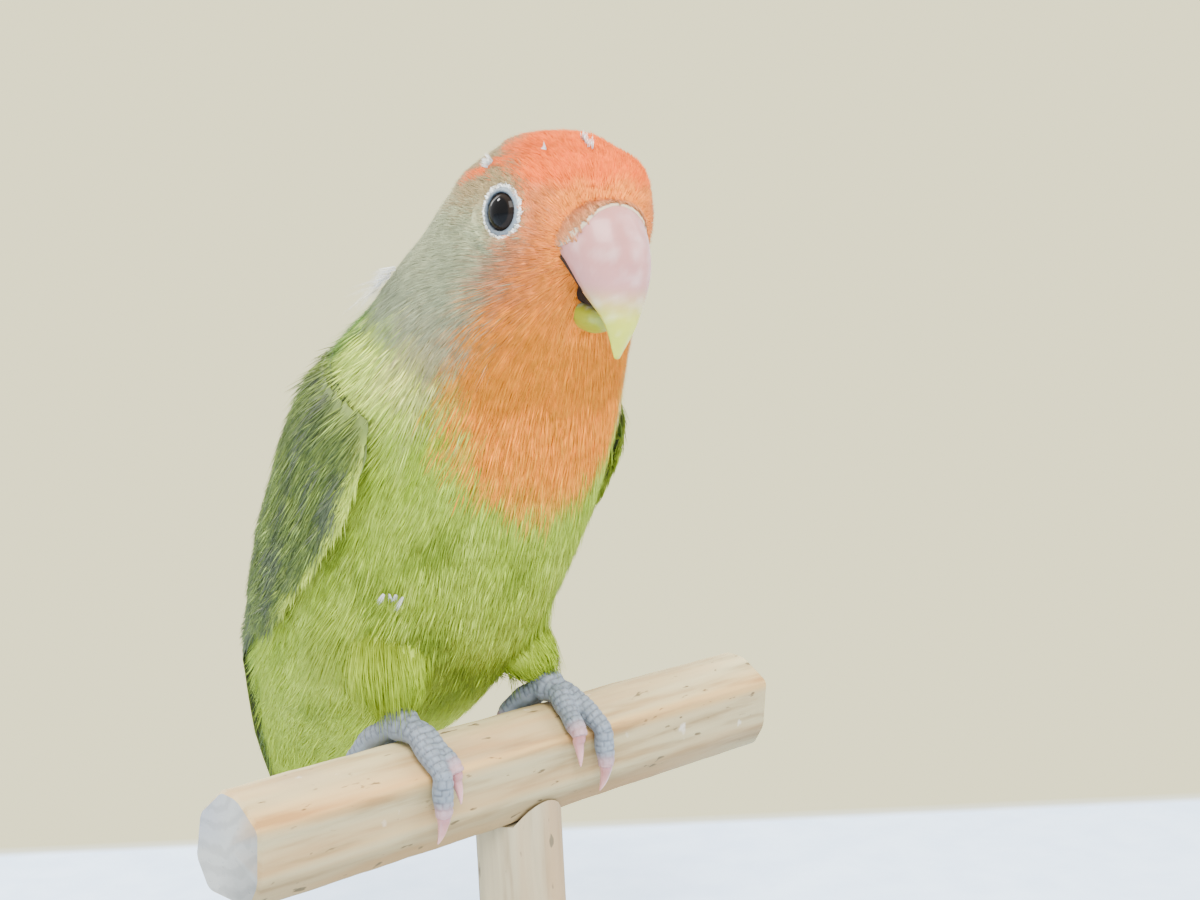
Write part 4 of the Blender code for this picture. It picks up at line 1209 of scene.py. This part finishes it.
def wing_strands(label, points, triangles):
    """Loose barbs over the coverts, which give the wing its shaggy look."""
    surface = BVHTree.FromPolygons([tuple(p) for p in points], [tuple(f) for f in triangles])
    levels, starts = leading_edge(surface, label)
    count = BARB_COUNT
    t = 17 + 55 * RNG.random(count) ** 0.95
    front = np.interp(t, levels, starts)
    turn = front + (168 - front) * RNG.random(count)
    edge = RNG.random(count) < EDGE_SHARE
    turn = np.where(edge & (t > 28), front + 0.4 + 6 * RNG.random(count), turn)
    angle = wing_angle(label, turn)
    outer = body_points(t, angle, 7.0)
    inner = body_points(t, angle, 0.0)
    found = cast(surface, outer, inner)
    hit = np.array([place is not None for place in found])
    root = np.array([place for place in found if place is not None])
    t, turn, angle, front = t[hit], turn[hit], angle[hit], front[hit]
    count = len(root)
    slope = np.interp(t, (20, 60), (0.8, 0.3))
    here = body_points(t, angle, 2.5)
    ahead = unit(body_points(t - 2.0, wing_angle(label, turn + slope * 2.0), 2.5) - here)
    normal = unit(here - body_points(t, angle, 0.5))
    normal = unit(normal - (normal * ahead).sum(1)[:, None] * ahead)
    fringe = step(5, 1, turn - front)
    forward_way = -unit(body_points(t, wing_angle(label, turn + 2.0), 2.5) - here)
    ahead = unit(ahead + 0.10 * RNG.normal(size=(count, 1)) * np.cross(normal, ahead)
                 + (0.22 * fringe * RNG.random(count))[:, None] * forward_way)
    length = RNG.uniform(4.5, 8.5, count) * np.interp(t, (20, 40), (0.8, 1.0))
    fall = -length**2 / 80.0
    heights = []
    for v in (0.5, 1.0):
        over = root + ahead * (length * v)[:, None] + normal * BARB_SIGHT
        below = [surface.ray_cast(Vector(a), Vector(-b), 2 * BARB_SIGHT) for a, b in zip(over, normal)]
        heights.append(np.array([BARB_SIGHT - f[3] if f[0] is not None else -9.0 for f in below]))
    rise = np.maximum(heights[1] - fall, 2 * (heights[0] - fall / 4))
    rise = np.clip(rise, 0.0, 2.5)
    drawn = np.array([noise.noise(Vector((a * 0.22, b * 0.05, 7.7))) for a, b in zip(turn, t)])
    tint = blend(WING_DARK, WING_GREEN, np.clip(0.5 + 1.1 * drawn + 0.25 * RNG.normal(size=count), 0, 1.3))
    tint = blend(tint, WING_GREY, step(0.15, 0.4, -drawn) * 0.7)
    tint = blend(tint, WING_PALE, (RNG.random(count) < 0.14) * RNG.uniform(0.2, 0.8, count))
    tint = blend(tint, WING_PALE, step(150, 166, turn) * 0.5)
    band = step(4.2, 2.0, turn - front + 1.2 * np.sin(0.9 * t)) * step(30, 40, t) * step(70, 62, t)
    tint = blend(tint, WING_EDGE, band * 0.9)
    # Painted shade darkens the barbs in a strip just behind the yellow band.
    gap_shade = step(4.5, 6.5, turn - front) * step(12, 8, turn - front) * step(34, 42, t) * step(64, 58, t)
    tint = blend(tint, WING_DARK * 0.7, gap_shade * 0.6)
    length = length * (1 - 0.45 * band)
    high = rise + RNG.uniform(0.1, 0.7, count) * (1 - 0.5 * band)
    place = np.stack([0.02 + 0.96 * (turn - 70) / 100, 0.02 + 0.96 * (t - 15) / 60], axis=1)
    made = strands(root, ahead, normal, length, fall, BARB_WIDTH, 0.8, -0.15, high, tint, place, 3)
    show("wing_barbs_" + label, made, FEATHER, "wing_feathers")


for label in SIDES:
    wing(label)


# Tail

TAIL_LEAN = 21.0
TAIL_START = -3.0
TAIL_GREEN = np.array((0.10, 0.21, 0.05))
TAIL_ORANGE = np.array((0.62, 0.22, 0.04))
TAIL_BLACK = np.array((0.03, 0.03, 0.025))
TAIL_BLUE = np.array((0.06, 0.20, 0.20))
TAIL_ROOT = ((-2, 8.4, 7.0, 6.0), (8, 8.0, 5.9, 4.4), (13, 6.4, 3.8, 2.6), (18, 4.8, 1.9, 1.5), (23, 3.2, 0.7, 0.6))
# Rows of coverts: side of the tail; start; length, and how much less it is at the edge; width; spread and height
# at root and tip; how pointed
TAIL_COVERTS = (
    ("over", 2, 15, 2, 4.6, (4.6, 4.2), (4.4, 1.9), 0.3),
    ("under", 0, 20, 3, 5.0, (5.2, 3.8), (-5.8, -2.2), 0.3),
    ("under", 4, 21, 3, 4.4, (4.0, 3.2), (-4.6, -1.3), 0.4),
)


def tail_points(side, reach, above):
    """Points on the tail's own axes: across, down along it and out of its upper face."""
    back, up = sections(TAIL_START)[:2]
    turn = math.radians(TAIL_LEAN)
    forward = -back - reach * math.sin(turn) - above * math.cos(turn)
    return world(side, forward, up - reach * math.cos(turn) + above * math.sin(turn))


def tail():
    """Twelve long feathers, green above with orange and black bars inside, under rows of coverts."""
    turns = turns_round(32)
    rings = []
    for reach, half, below, above in TAIL_ROOT:
        depth = np.where(np.cos(turns) > 0, -below, -above)
        rings.append(tail_points(half * np.sin(turns), reach, depth * np.cos(turns)))
    points, triangles = closed_loft(rings)
    parts = [(points, triangles, plain(UNDERTAIL * 0.8, points), np.full((len(points), 2), PLAIN_PLACE))]
    feathers = []
    for share in np.linspace(-1, 1, 12):
        height = (0.4 - 0.9 * abs(share), 0.5 - 1.6 * abs(share))
        feathers.append(("rectrix", share, 10, 24 - 3.5 * share * share, 4.9, share * 2.4, share * 5.2, height,
                         math.copysign(0.3, -share), 0.55))
    for share in np.linspace(-1, 1, 7):
        curve = 1 - 0.45 * share * share
        for kind, start, length, less, width, spread, height, pointed in TAIL_COVERTS:
            feathers.append((kind, share, start, length - less * abs(share), width, share * spread[0],
                             share * spread[1], (height[0] * curve, height[1] * curve), 0.0, pointed))
    for index, (kind, share, start, length, width, root_side, tip_side, height, lean, pointed) in enumerate(feathers):
        length += RNG.uniform(-0.5, 0.5)

        def place(v, s, out):
            side = root_side + (tip_side - root_side) * v + s * width / 2
            return tail_points(side, start + length * v, height[0] + (height[1] - height[0]) * v + out - lean * s)

        points, triangles, v, s = vane(place, pointed)
        if kind == "rectrix":
            tint = plain(TAIL_GREEN, points)
            if abs(share) > 0.15:
                tint = blend(tint, TAIL_ORANGE, step(0.15, 0.3, v) * step(0.72, 0.6, v))
                tint = blend(tint, TAIL_BLACK, step(0.62, 0.7, v) * step(0.84, 0.76, v))
            tint = blend(tint, TAIL_BLUE, step(0.84, 0.95, v))
        else:
            tint = plain(blend(UNDERTAIL, BACK, 0.75) if kind == "over" else UNDERTAIL, points)
            tint = blend(tint, BELLY_PALE, np.abs(s) ** 2 * 0.5)
        uv = np.stack([(index % 6 + 0.5 + 0.42 * s) / 6, (index // 6 + 0.05 + 0.9 * v) / 6], 1)
        parts.append((points, triangles, np.clip(tint * (1 + 0.05 * RNG.normal()), 0, 1), uv * 0.97))
    show("tail_vanes", gather(parts), VANE, "tail_feathers", "tail")


tail()


# Bill, cere and eyes

# Curves from root to tip as forward of HEAD_BACK and up, with half widths
RIDGE = ((12.5, 79.8), (17.2, 79.2), (19.4, 73.0), (17.8, 65.2), (15.2, 60.3))
EDGE = ((6.0, 75.5), (10.5, 73.0), (13.4, 68.6), (15.4, 64.9), (15.0, 60.5))
BILL_HALF = (6.2, 6.2, 5.0, 2.6, 0.45)
# How far down the bill the cere reaches, by turn from the ridge, and how much further back its feathers start
CERE_EDGE = ((0, 0.215), (35, 0.25), (60, 0.295), (90, 0.31), (120, 0.25), (150, 0.12), (180, 0.10))
MUZZLE_BACK = ((0, 0.035), (40, 0.022), (70, 0.012))
CERE_PROUD = 0.42
CERE_RINGS = 18
GRID_STEP = 0.005
NOSTRIL = (3.4, 15.6, 81.2)
CERE_MIDDLE = (0.0, 12.0, 77.0)
MOUTH_CORNERS = (0.645, 0.355)
MUZZLE_SIDES = 200
MOUTH_TOP = ((6.0, 75.0), (10.5, 72.6), (12.8, 69.4), (14.0, 67.0))
MOUTH_LOW = ((6.0, 69.2), (10.2, 67.7), (12.8, 67.0), (14.0, 66.2))
MOUTH_HALF = (2.4, 2.6, 2.4, 1.7)
# Painted shade for the inside of the open bill and the creases along its edges
MOUTH_SHADE = np.array((0.03, 0.018, 0.012))
LOWER_RIDGE = ((6.0, 65.4), (10.4, 63.7), (13.9, 64.2), (15.1, 66.0))
LOWER_EDGE = ((6.0, 69.6), (10.2, 68.0), (13.2, 67.0), (15.0, 66.4))
LOWER_HALF = (2.2, 2.5, 2.3, 0.9)
BILL_PINK = np.array((0.44, 0.19, 0.165))
BILL_TIP = np.array((0.46, 0.47, 0.015))
BILL_LOWER = np.array((0.27, 0.29, 0.015))
CERE_PALE = np.array((0.50, 0.37, 0.235))
GAPE = np.array((0.30, 0.12, 0.08))


def curve_at(points, u):
    """A curve's place, or a half width, at a share of its length."""
    keys = [i / (len(points) - 1) for i in range(len(points))]
    if isinstance(points[0], tuple):
        return tuple(smooth(keys, [p[axis] for p in points], u) for axis in (0, 1))
    return smooth(keys, points, u)


def bill_ring(ridge, edge, half, u, out, sides=48):
    """A section between a ridge and an edge, rounder on its ridge and flatter at its edge."""
    top = np.array(curve_at(ridge, u))
    low = np.array(curve_at(edge, u))
    width = max(curve_at(half, u), 0.3) + out
    length = np.linalg.norm(top - low)
    axis = (top - low) / length
    turn = 2 * np.pi * (np.arange(sides) + 0.5) / sides
    rise = np.cos(turn)
    across = np.sin(turn)
    across = np.where(rise < 0, np.copysign(np.abs(across) ** 0.6, across), across)
    across = across * (1 - 0.17 * rise)
    reach = (0.5 + 0.5 * rise) * (length + 2 * out) - out
    return world(across * width, HEAD_BACK + low[0] + axis[0] * reach, low[1] + axis[1] * reach)


def bill_piece(ridge, edge, half, rings, low=0.0, out=0.0):
    return closed_loft([bill_ring(ridge, edge, half, u, out) for u in np.linspace(low, 1.0, rings)])


def upper_ring(u, out=0.0, sides=48):
    return bill_ring(RIDGE, EDGE, BILL_HALF, u, out, sides)


def cere_edge(sides):
    """How far down the bill the cere reaches at each side of a ring, and the turn from its ridge."""
    turn = 360 * (np.arange(sides) + 0.5) / sides
    turn = np.minimum(turn, 360 - turn)
    return by_key(turn, CERE_EDGE), turn


def nostrils():
    side, forward, up = NOSTRIL
    return [world(sign * side, HEAD_BACK + forward, up) for sign in SIDES.values()]


def make_upper_bill():
    points, triangles = bill_piece(RIDGE, EDGE, BILL_HALF, 44, low=0.1)
    right, forward, up = to_bird(points)
    tint = blend(BILL_PINK, BILL_TIP, step(70.5, 64.5, up + 0.25 * (forward - HEAD_BACK - 16)))
    growth = 0.5 + 0.5 * np.sin(up * 4.1 + forward * 1.3)
    tint = tint * (1 - 0.03 * growth)[:, None]
    tint = blend(tint, WHITE, 0.25 * np.clip(field(points, 1.6, 8), 0, 1))
    show("bill_upper_horn", (points, triangles, tint), HORN, "bill", "bill_upper")


def make_lower_bill():
    points, triangles = bill_piece(LOWER_RIDGE, LOWER_EDGE, LOWER_HALF, 24, out=-0.05)
    right, forward, up = to_bird(points)
    rim = step(67.2, 68.4, up + 0.25 * (forward - HEAD_BACK - 10) + 0.4 * field(points, 0.8, 9))
    tint = blend(BILL_LOWER, WHITE * 0.8, 0.75 * rim)
    show("bill_lower_horn", (points, triangles, tint), HORN, "bill", "bill_lower")


def make_mouth():
    """Painted shade: a near-black inside of the slightly open bill, and a dark line along each edge of it."""
    parts = [bill_piece(MOUTH_TOP, MOUTH_LOW, MOUTH_HALF, 16)]
    for corner in MOUTH_CORNERS:
        path = [upper_ring(u, 0.0, 96)[int(corner * 96)] for u in np.linspace(0.27, 0.52, 14)]
        parts.append(tube(path, np.interp(np.linspace(0, 1, 14), (0, 0.3, 1), (0.32, 0.26, 0.06)), 8))
    points, triangles = gather(parts)
    show("mouth_shade_line", (points, triangles, plain(MOUTH_SHADE, points)), UNDERCOAT, "bill")


def cere_swell(v):
    """How proud the cere is from its root (0) to its front edge (1), where it turns in."""
    rounded = math.sqrt(max(1 - ((v - 0.5) / 0.5) ** 2, 0.0)) if v > 0.5 else 1.0
    return CERE_PROUD * step(0.0, 0.5, v) * rounded - 0.2 * (v > 0.99)


def make_cere():
    """Bare skin over the bill's base, with two sunk nostrils."""
    rows = np.arange(0, 0.45, GRID_STEP)
    shape = np.array([upper_ring(u) for u in rows])
    out = unit(np.array([upper_ring(u, 1.0) for u in rows]) - shape)
    column = np.arange(shape.shape[1])
    edge, turn = cere_edge(len(column))
    rings = []
    for v in np.linspace(0.0, 1.0, CERE_RINGS):
        place = v * edge / GRID_STEP
        row = place.astype(int)
        here = shape[row, column]
        between = (shape[row + 1, column] - here) * (place - row)[:, None]
        rings.append(here + between + out[row, column] * cere_swell(v))
    points, triangles = closed_loft(rings)
    middle = world(CERE_MIDDLE[0], HEAD_BACK + CERE_MIDDLE[1], CERE_MIDDLE[2])
    for hole in nostrils():
        away = np.linalg.norm(points - hole, axis=1)
        points = points + unit(middle - points) * (1.1 * np.clip(1 - away / 1.3, 0, 1))[:, None]
    tint = plain(CERE_PALE, points)
    for hole in nostrils():
        tint = blend(tint, GAPE, step(0.95, 0.45, np.linalg.norm(points - hole, axis=1)))
    show("cere_flesh", (points, triangles, tint), CERE, "cere", "cere")


def make_muzzle():
    """Tiny feathers that run back from the cere and hide the sides of the bill's base."""
    root = []
    ahead = []
    normal = []
    edge, turn = cere_edge(MUZZLE_SIDES)
    limit = edge - by_key(turn, MUZZLE_BACK)
    for u in np.linspace(0.06, 0.33, 54):
        out = 0.4 - 0.25 * step(0.24, 0.30, u)
        ring, before, outer = (upper_ring(at, proud, MUZZLE_SIDES)
                               for at, proud in ((u, out), (u + 0.04, out), (u, out + 1)))
        keep = (u <= limit + 0.012 * RNG.normal(size=MUZZLE_SIDES)) & (RNG.random(MUZZLE_SIDES) < 0.6)
        root.append((ring + 0.12 * RNG.normal(size=ring.shape))[keep])
        ahead.append(unit(ring - before)[keep])
        normal.append(unit(outer - ring)[keep])
    root, ahead, normal = (np.concatenate(part) for part in (root, ahead, normal))
    clear = np.min([np.linalg.norm(root - hole, axis=1) for hole in nostrils()], axis=0) > 1.0
    root, ahead, normal = root[clear], ahead[clear], normal[clear]
    count = len(root)
    right, forward, up = to_bird(root)
    tint = blend(blend(FACE, NAPE, 0.25), FOREHEAD, 0.4 * step(80, 82, up)) * (1 + 0.08 * RNG.normal(size=(count, 1)))
    length = RNG.uniform(1.1, 2.0, count)
    place = np.stack([0.2 + 0.6 * RNG.random(count), 0.2 + 0.6 * RNG.random(count)], 1)
    made = strands(root, ahead, normal, length, -0.1 * length, 0.11, 0.3, -0.12, RNG.uniform(0.1, 0.4, count), tint,
                   place, 5, short=True)
    show("plumage_muzzle", made, FEATHER, "face_feathers")


make_upper_bill()
make_lower_bill()
make_mouth()
make_cere()
make_muzzle()

# Each row of points round the lid: how far it is from the line the eye looks along, and how far out along it
LID_PROFILE = ((2.40, 1.70), (2.42, 1.90), (2.50, 2.02), (2.64, 2.06), (2.80, 2.02), (2.96, 1.92), (3.1, 1.78),
               (3.3, 1.55), (3.5, 1.1), (3.2, 0.6), (2.6, 1.0))
LID_SIDES = 96
LID_DARK = np.array((0.035, 0.045, 0.055))
LID_GREY = np.array((0.17, 0.20, 0.22))
EYE_BROWN = np.array((0.012, 0.008, 0.006))
EYE_FEATHERS = 150


def eye_axes(side):
    """The eye's middle, the line it looks along and two ways across it."""
    centre, axis = eye_place(side)
    one = unit(np.cross(axis, (0, 0, 1.0)))
    return centre, axis, one, np.cross(axis, one)


def make_eyeball(label, side):
    """A glossy ball with a dark brown ring between the pupil and the dark rim."""
    centre, axis, one, two = eye_axes(side)
    turn = turns_round(48)
    spoke = np.cos(turn)[:, None] * one + np.sin(turn)[:, None] * two
    radius = EYE_RADIUS - 0.02
    points, triangles = closed_loft([centre + spoke * radius * math.sin(polar) + axis * radius * math.cos(polar)
                                     for polar in np.radians(np.linspace(2, 150, 40))])
    spread = np.linalg.norm((points - centre) - ((points - centre) @ axis)[:, None] * axis, axis=1)
    tint = blend(linear(10, 9, 9), EYE_BROWN, step(1.75, 1.95, spread))
    tint = blend(tint, linear(8, 8, 8), step(2.3, 2.45, spread))
    show("eyeball_" + label, (points, triangles, tint), EYE, "eye", "eye_" + label)


def make_lid(label, side):
    """A bare grey ring of skin with fine wrinkles."""
    centre, axis, one, two = eye_axes(side)
    points = []
    for i in range(LID_SIDES):
        turn = i * 2 * np.pi / LID_SIDES
        way = math.cos(turn) * one + math.sin(turn) * two
        for k, (radius, high) in enumerate(LID_PROFILE):
            wrinkle = 0.05 * math.sin(i * 1.9 + k) * (0 < k < 8) + 0.04 * math.sin(i * 0.7 + 2 * k)
            points.append(centre + way * (radius + wrinkle) + axis * (high + 0.5 * wrinkle))
    points = np.array(points)
    triangles = np.array(grid_triangles(LID_SIDES, len(LID_PROFILE), closed=True))
    tint = blend(LID_DARK, LID_GREY, step(2.4, 2.9, np.tile([radius for radius, high in LID_PROFILE], LID_SIDES)))
    show("lid_" + label, (points, turned_out(points, triangles), tint), LID, "face_feathers")


def make_eye_ring(label, side):
    """Three rows of tiny white feathers that lie slantwise round the lid."""
    centre, axis, one, two = eye_axes(side)
    total = EYE_FEATHERS
    turn = turns_round(total) * 3 + RNG.normal(size=total) * 0.05
    way = np.cos(turn)[:, None] * one + np.sin(turn)[:, None] * two
    root = centre + way * (2.92 + 0.14 * (np.arange(total) % 3))[:, None] + axis * 1.72
    ahead = unit(way + 0.5 * np.cross(axis, way))
    ahead = unit(ahead - 0.12 * axis)
    normal = unit(axis - (ahead @ axis)[:, None] * ahead)
    length = RNG.uniform(0.5, 0.8, total)
    tint = np.tile(WHITE, (total, 1)) * (1 + 0.05 * RNG.normal(size=(total, 1)))
    made = strands(root, ahead, normal, length, -0.2 * length, 0.16, 0.22, 0.05, 0.3, tint, np.full((total, 2), 0.5), 3)
    show("eye_ring_" + label, made, FEATHER, "face_feathers", smooth_faces=False)


for label, side in SIDES.items():
    make_eyeball(label, side)
    make_lid(label, side)
    make_eye_ring(label, side)


# Feet and claws

# By toe: the turns round the bar where the toe and its claw end, and how far it reaches outward
TOES = {1: (-64, -90), 2: (66, 92), 3: (99, 126), 4: (-84, -110)}
TOE_REACH = {
    "right": {1: -2.8, 2: -2.2, 3: 0.9, 4: 2.8},
    "left": {1: -2.8, 2: -3.1, 3: 2.3, 4: 2.8},
}
TOE_RADIUS = 1.85
TOE_END_RADIUS = 1.3
CLAW_RADIUS = 0.8
CLAW_BACK_TURN = 3.0
CLAW_SIDES = 14
CLAW_ROWS = 18
FOOT_VOXEL = 0.26
BALL_HALF = 2.2
SCUTE_LENGTH = 1.0
SCUTE_TURN = 48
SCUTE_RADIUS = 1.6
LINE_HALF = 0.19
CROSS_HALF = 0.17
GROOVE_DEPTH = 0.2
FOOT_GREY = np.array((0.15, 0.175, 0.20))
FOOT_LINE = np.array((0.05, 0.055, 0.065))
TOE_PINK = np.array((0.40, 0.22, 0.22))
CLAW_PINK = np.array((0.50, 0.25, 0.24))
CLAW_CORE = np.array((0.22, 0.07, 0.07))


def toe_path(label, number, start, end, radius, count):
    """A line round the bar, clear of it by a radius that changes evenly along it."""
    outward = -1 if label == "right" else 1
    path = []
    for u in np.linspace(0, 1, count):
        turn = start + (end - start) * u
        ahead, up = round_bar(turn, radius[0] + (radius[1] - radius[0]) * u + GAP)
        spread = math.sin(min(abs(turn) / 100, 1.0) * math.pi / 2)
        path.append((FOOT_X[label] + outward * TOE_REACH[label][number] * spread, -ahead, BAR_HEIGHT + up))
    return np.array(path)


def foot_shells(label):
    """The closed shapes that make a foot, and the middle lines of its toes and shin."""
    shells = []
    lines = []
    u = np.linspace(0, 1, 26)
    radii = TOE_RADIUS + (TOE_END_RADIUS - TOE_RADIUS) * u + 0.10 * np.cos(u * 2 * np.pi * 2.5)
    for number, (end, tip) in TOES.items():
        path = toe_path(label, number, math.copysign(4, end), end, (TOE_RADIUS, TOE_END_RADIUS), 26)
        shells.append(tube(path, radii, 20))
        lines.append(path)
    pad, ankle, shin, knee = leg_line(label)
    low = ankle - (0, 0, 0.6)
    top = shin + (knee - shin) * 0.12
    shells.append(tube([low, ankle, shin, top], [2.2, 2.05, 1.95, 1.9], 20))
    lines.append(np.linspace(low, top, 8))
    rise = np.linspace(-BALL_HALF, BALL_HALF, 9)
    ball = [pad + np.array((0, 0, z)) for z in rise]
    shells.append(tube(ball, np.sqrt(np.maximum(PAD_RADIUS**2 - rise**2, 0.1)), 20))
    return shells, lines


def nearest_line(points, lines):
    """For each point, the nearest place on the lines, the way along the line there and its distance from the start."""
    places = np.concatenate(lines)
    ways = np.concatenate([unit(np.gradient(line, axis=0)) for line in lines])
    travel = np.concatenate([np.cumsum(np.linalg.norm(np.diff(line, axis=0, prepend=line[:1]), axis=1))
                             for line in lines])
    tree = KDTree(len(places))
    for i, p in enumerate(places):
        tree.insert(p, i)
    tree.balance()
    nearest = [tree.find(p)[1] for p in points]
    return places[nearest], ways[nearest], travel[nearest]


def make_foot(label):
    """Scaly toes: fused, then grooved between scutes that ring each toe."""
    shells, lines = foot_shells(label)
    points, faces = fused(shells, FOOT_VOXEL, 3)
    base, ahead, travel = nearest_line(points, lines)
    offset = points - base
    reach = (offset * ahead).sum(1)
    out = unit(offset - reach[:, None] * ahead)
    away = unit((points - np.array([0, 0, BAR_HEIGHT])) * (0, 1, 1))
    upper = (out * away).sum(1)
    turn = np.degrees(np.arctan2(out[:, 0], upper))
    row = (travel + reach) / SCUTE_LENGTH
    column = turn / SCUTE_TURN + np.floor(row) % 2 * 0.5
    ring = np.abs(row - np.round(row)) * SCUTE_LENGTH
    cross = np.abs(column - np.round(column)) * SCUTE_TURN * np.pi / 180 * SCUTE_RADIUS
    groove = np.maximum(np.clip(1 - ring / LINE_HALF, 0, 1), np.clip(1 - cross / CROSS_HALF, 0, 1) * 0.8)
    groove *= step(-0.5, 0.0, upper)
    dots = step(-0.2, -0.6, upper) * np.clip(field(points, 0.55, 12), 0, 1)
    points = points - out * (GROOVE_DEPTH * groove - 0.05 * dots)[:, None]
    tint = blend(FOOT_GREY, FOOT_LINE, 0.85 * groove)
    ends = np.array([line[-1] for line in lines[:len(TOES)]])
    near = np.min(np.linalg.norm(points[:, None] - ends[None], axis=2), axis=1)
    tint = blend(tint, TOE_PINK, step(3.0, 1.0, near) * 0.8)
    tint = np.clip(tint * (1 + 0.1 * field(points, 2.0, 3))[:, None], 0, 1)
    show("foot_scales_" + label, (points, turned_out(points, faces), tint), FOOT, "foot_skin", "foot_" + label)


def make_claws(label):
    """Claws that carry on round the bar from each toe, pink with a darker core on top."""
    parts = []
    u = np.linspace(0, 1, CLAW_ROWS)
    radii = CLAW_RADIUS * (1 - u**1.6) + 0.1 + 0.1 * np.sin(np.pi * np.clip(u * 3, 0, 1))
    share = np.concatenate([np.repeat(u, CLAW_SIDES), [0, 1]])
    away = np.concatenate([np.tile(np.cos(turns_round(CLAW_SIDES)), CLAW_ROWS), [0, 0]])
    tint = blend(CLAW_PINK, CLAW_CORE, 0.7 * step(0.9, 0.1, share) * step(-0.4, 0.6, away))
    for number, (end, tip) in TOES.items():
        start = end - math.copysign(CLAW_BACK_TURN, end)
        path = toe_path(label, number, start, tip, (CLAW_RADIUS + 0.35, 0.2), CLAW_ROWS)
        parts.append((*tube(path, radii, CLAW_SIDES), tint))
    show("claws_" + label, gather(parts), CLAW, "claw", *("claw_%s_%d" % (label, number) for number in TOES))


for label in SIDES:
    make_foot(label)
    make_claws(label)


# Perch and stand

# How far along the face from each corner a point is, and how far it is pulled in
CORNER_WEAR = ((1.7, 1.0), (0.7, 1.0), (0.2, 0.985))
WEAR = 0.14
END_SHRINK = 0.94
RUST = np.array((1.15, 0.80, 0.50))
ASH = np.array((0.80, 0.84, 1.0))


def bar_outline():
    """The bar's outline with softly worn corners, as ahead and up from its axis."""
    corners = np.array(bar_corners())
    outline = []
    for i, here in enumerate(corners):
        for other, wear in ((corners[i - 1], CORNER_WEAR), (corners[(i + 1) % len(corners)], CORNER_WEAR[::-1])):
            for far, pull in wear:
                edge = other - here
                outline.append((here + edge / np.linalg.norm(edge) * far) * pull)
    return np.array(outline)


def make_perch():
    """The bar with slightly uneven faces, rusty along its upper corners and ashy in patches; painted shade darkens its
    front and lower faces and painted light brightens its top.
    """
    outline = bar_outline()
    half = BAR_LENGTH / 2
    stations = np.concatenate([[-half], np.linspace(-half + 0.5, half - 0.5, 80), [half]])
    rings = []
    for k, x in enumerate(stations):
        shrink = END_SHRINK if k in (0, len(stations) - 1) else 1.0
        ring = np.stack([np.full(len(outline), x + BAR_SHIFT), -outline[:, 0] * shrink,
                         BAR_HEIGHT + outline[:, 1] * shrink], axis=1)
        uneven = field(ring, 7.0, 21) * WEAR + field(ring, 2.2, 22) * 0.05
        out = unit(ring - np.array([x + BAR_SHIFT, 0, BAR_HEIGHT]))
        rings.append(ring + out * (uneven - WEAR)[:, None])
    points, triangles = closed_loft(rings)
    turn = np.degrees(np.arctan2(-points[:, 1], points[:, 2] - BAR_HEIGHT))
    wave = field(points * (0.12, 1, 1), 5.0, 23)
    rust = step(14, 4, np.abs(turn - 62 - 7 * wave)) + 0.5 * step(8, 2, np.abs(turn - 104 - 9 * wave))
    ash = step(60, 50, turn) * step(-0.1, 0.45, field(points * (0.4, 1, 1), 7.0, 24)) * step(30, -20, points[:, 0])
    # Painted light and shade: the front and lower faces are darkened and the top is lightened.
    faces = 0.89 - 0.22 * step(62, 67, turn) - 0.14 * step(119, 125, turn) + 0.05 * step(24, 18, turn)
    tint = blend(blend(np.ones(3), RUST, 0.8 * rust), ASH, 0.8 * ash) * faces[:, None]
    perch = show("perch_bar", (points, triangles, tint), PERCH_WOOD, "perch_wood", "perch")
    perch.data.set_sharp_from_angle(angle=math.radians(16))


def paint_stand():
    """The post in its own wood, and the base in matt off-white paint."""
    frame["nodes"]["stand_post"].material_slots[0].material = POST_WOOD
    paint, nodes, links, surface = shader("base_paint_look", 0.55)
    cloud = noise_fac(nodes, links, 90.0, 4.0)
    tone = ramp(nodes, links, cloud, ((0.3, (0.72, 0.70, 0.64)), (0.7, (0.82, 0.80, 0.74))))
    links.new(tone, surface.inputs["Base Color"])
    bump(nodes, links, surface, noise_fac(nodes, links, 1500.0, 2.0), 0.2, 0.05)
    frame["nodes"]["stand_base"].material_slots[0].material = paint


PERCH_WOOD = wood("perch_wood_look", np.array((0.48, 0.40, 0.21)), np.array((0.33, 0.24, 0.11)),
                  np.array((0.50, 0.30, 0.12)), np.array((0.37, 0.36, 0.32)))
POST_WOOD = wood("post_wood_look", np.array((0.33, 0.28, 0.175)), np.array((0.24, 0.185, 0.105)),
                 np.array((0.30, 0.20, 0.10)), upright=True)
make_perch()
paint_stand()
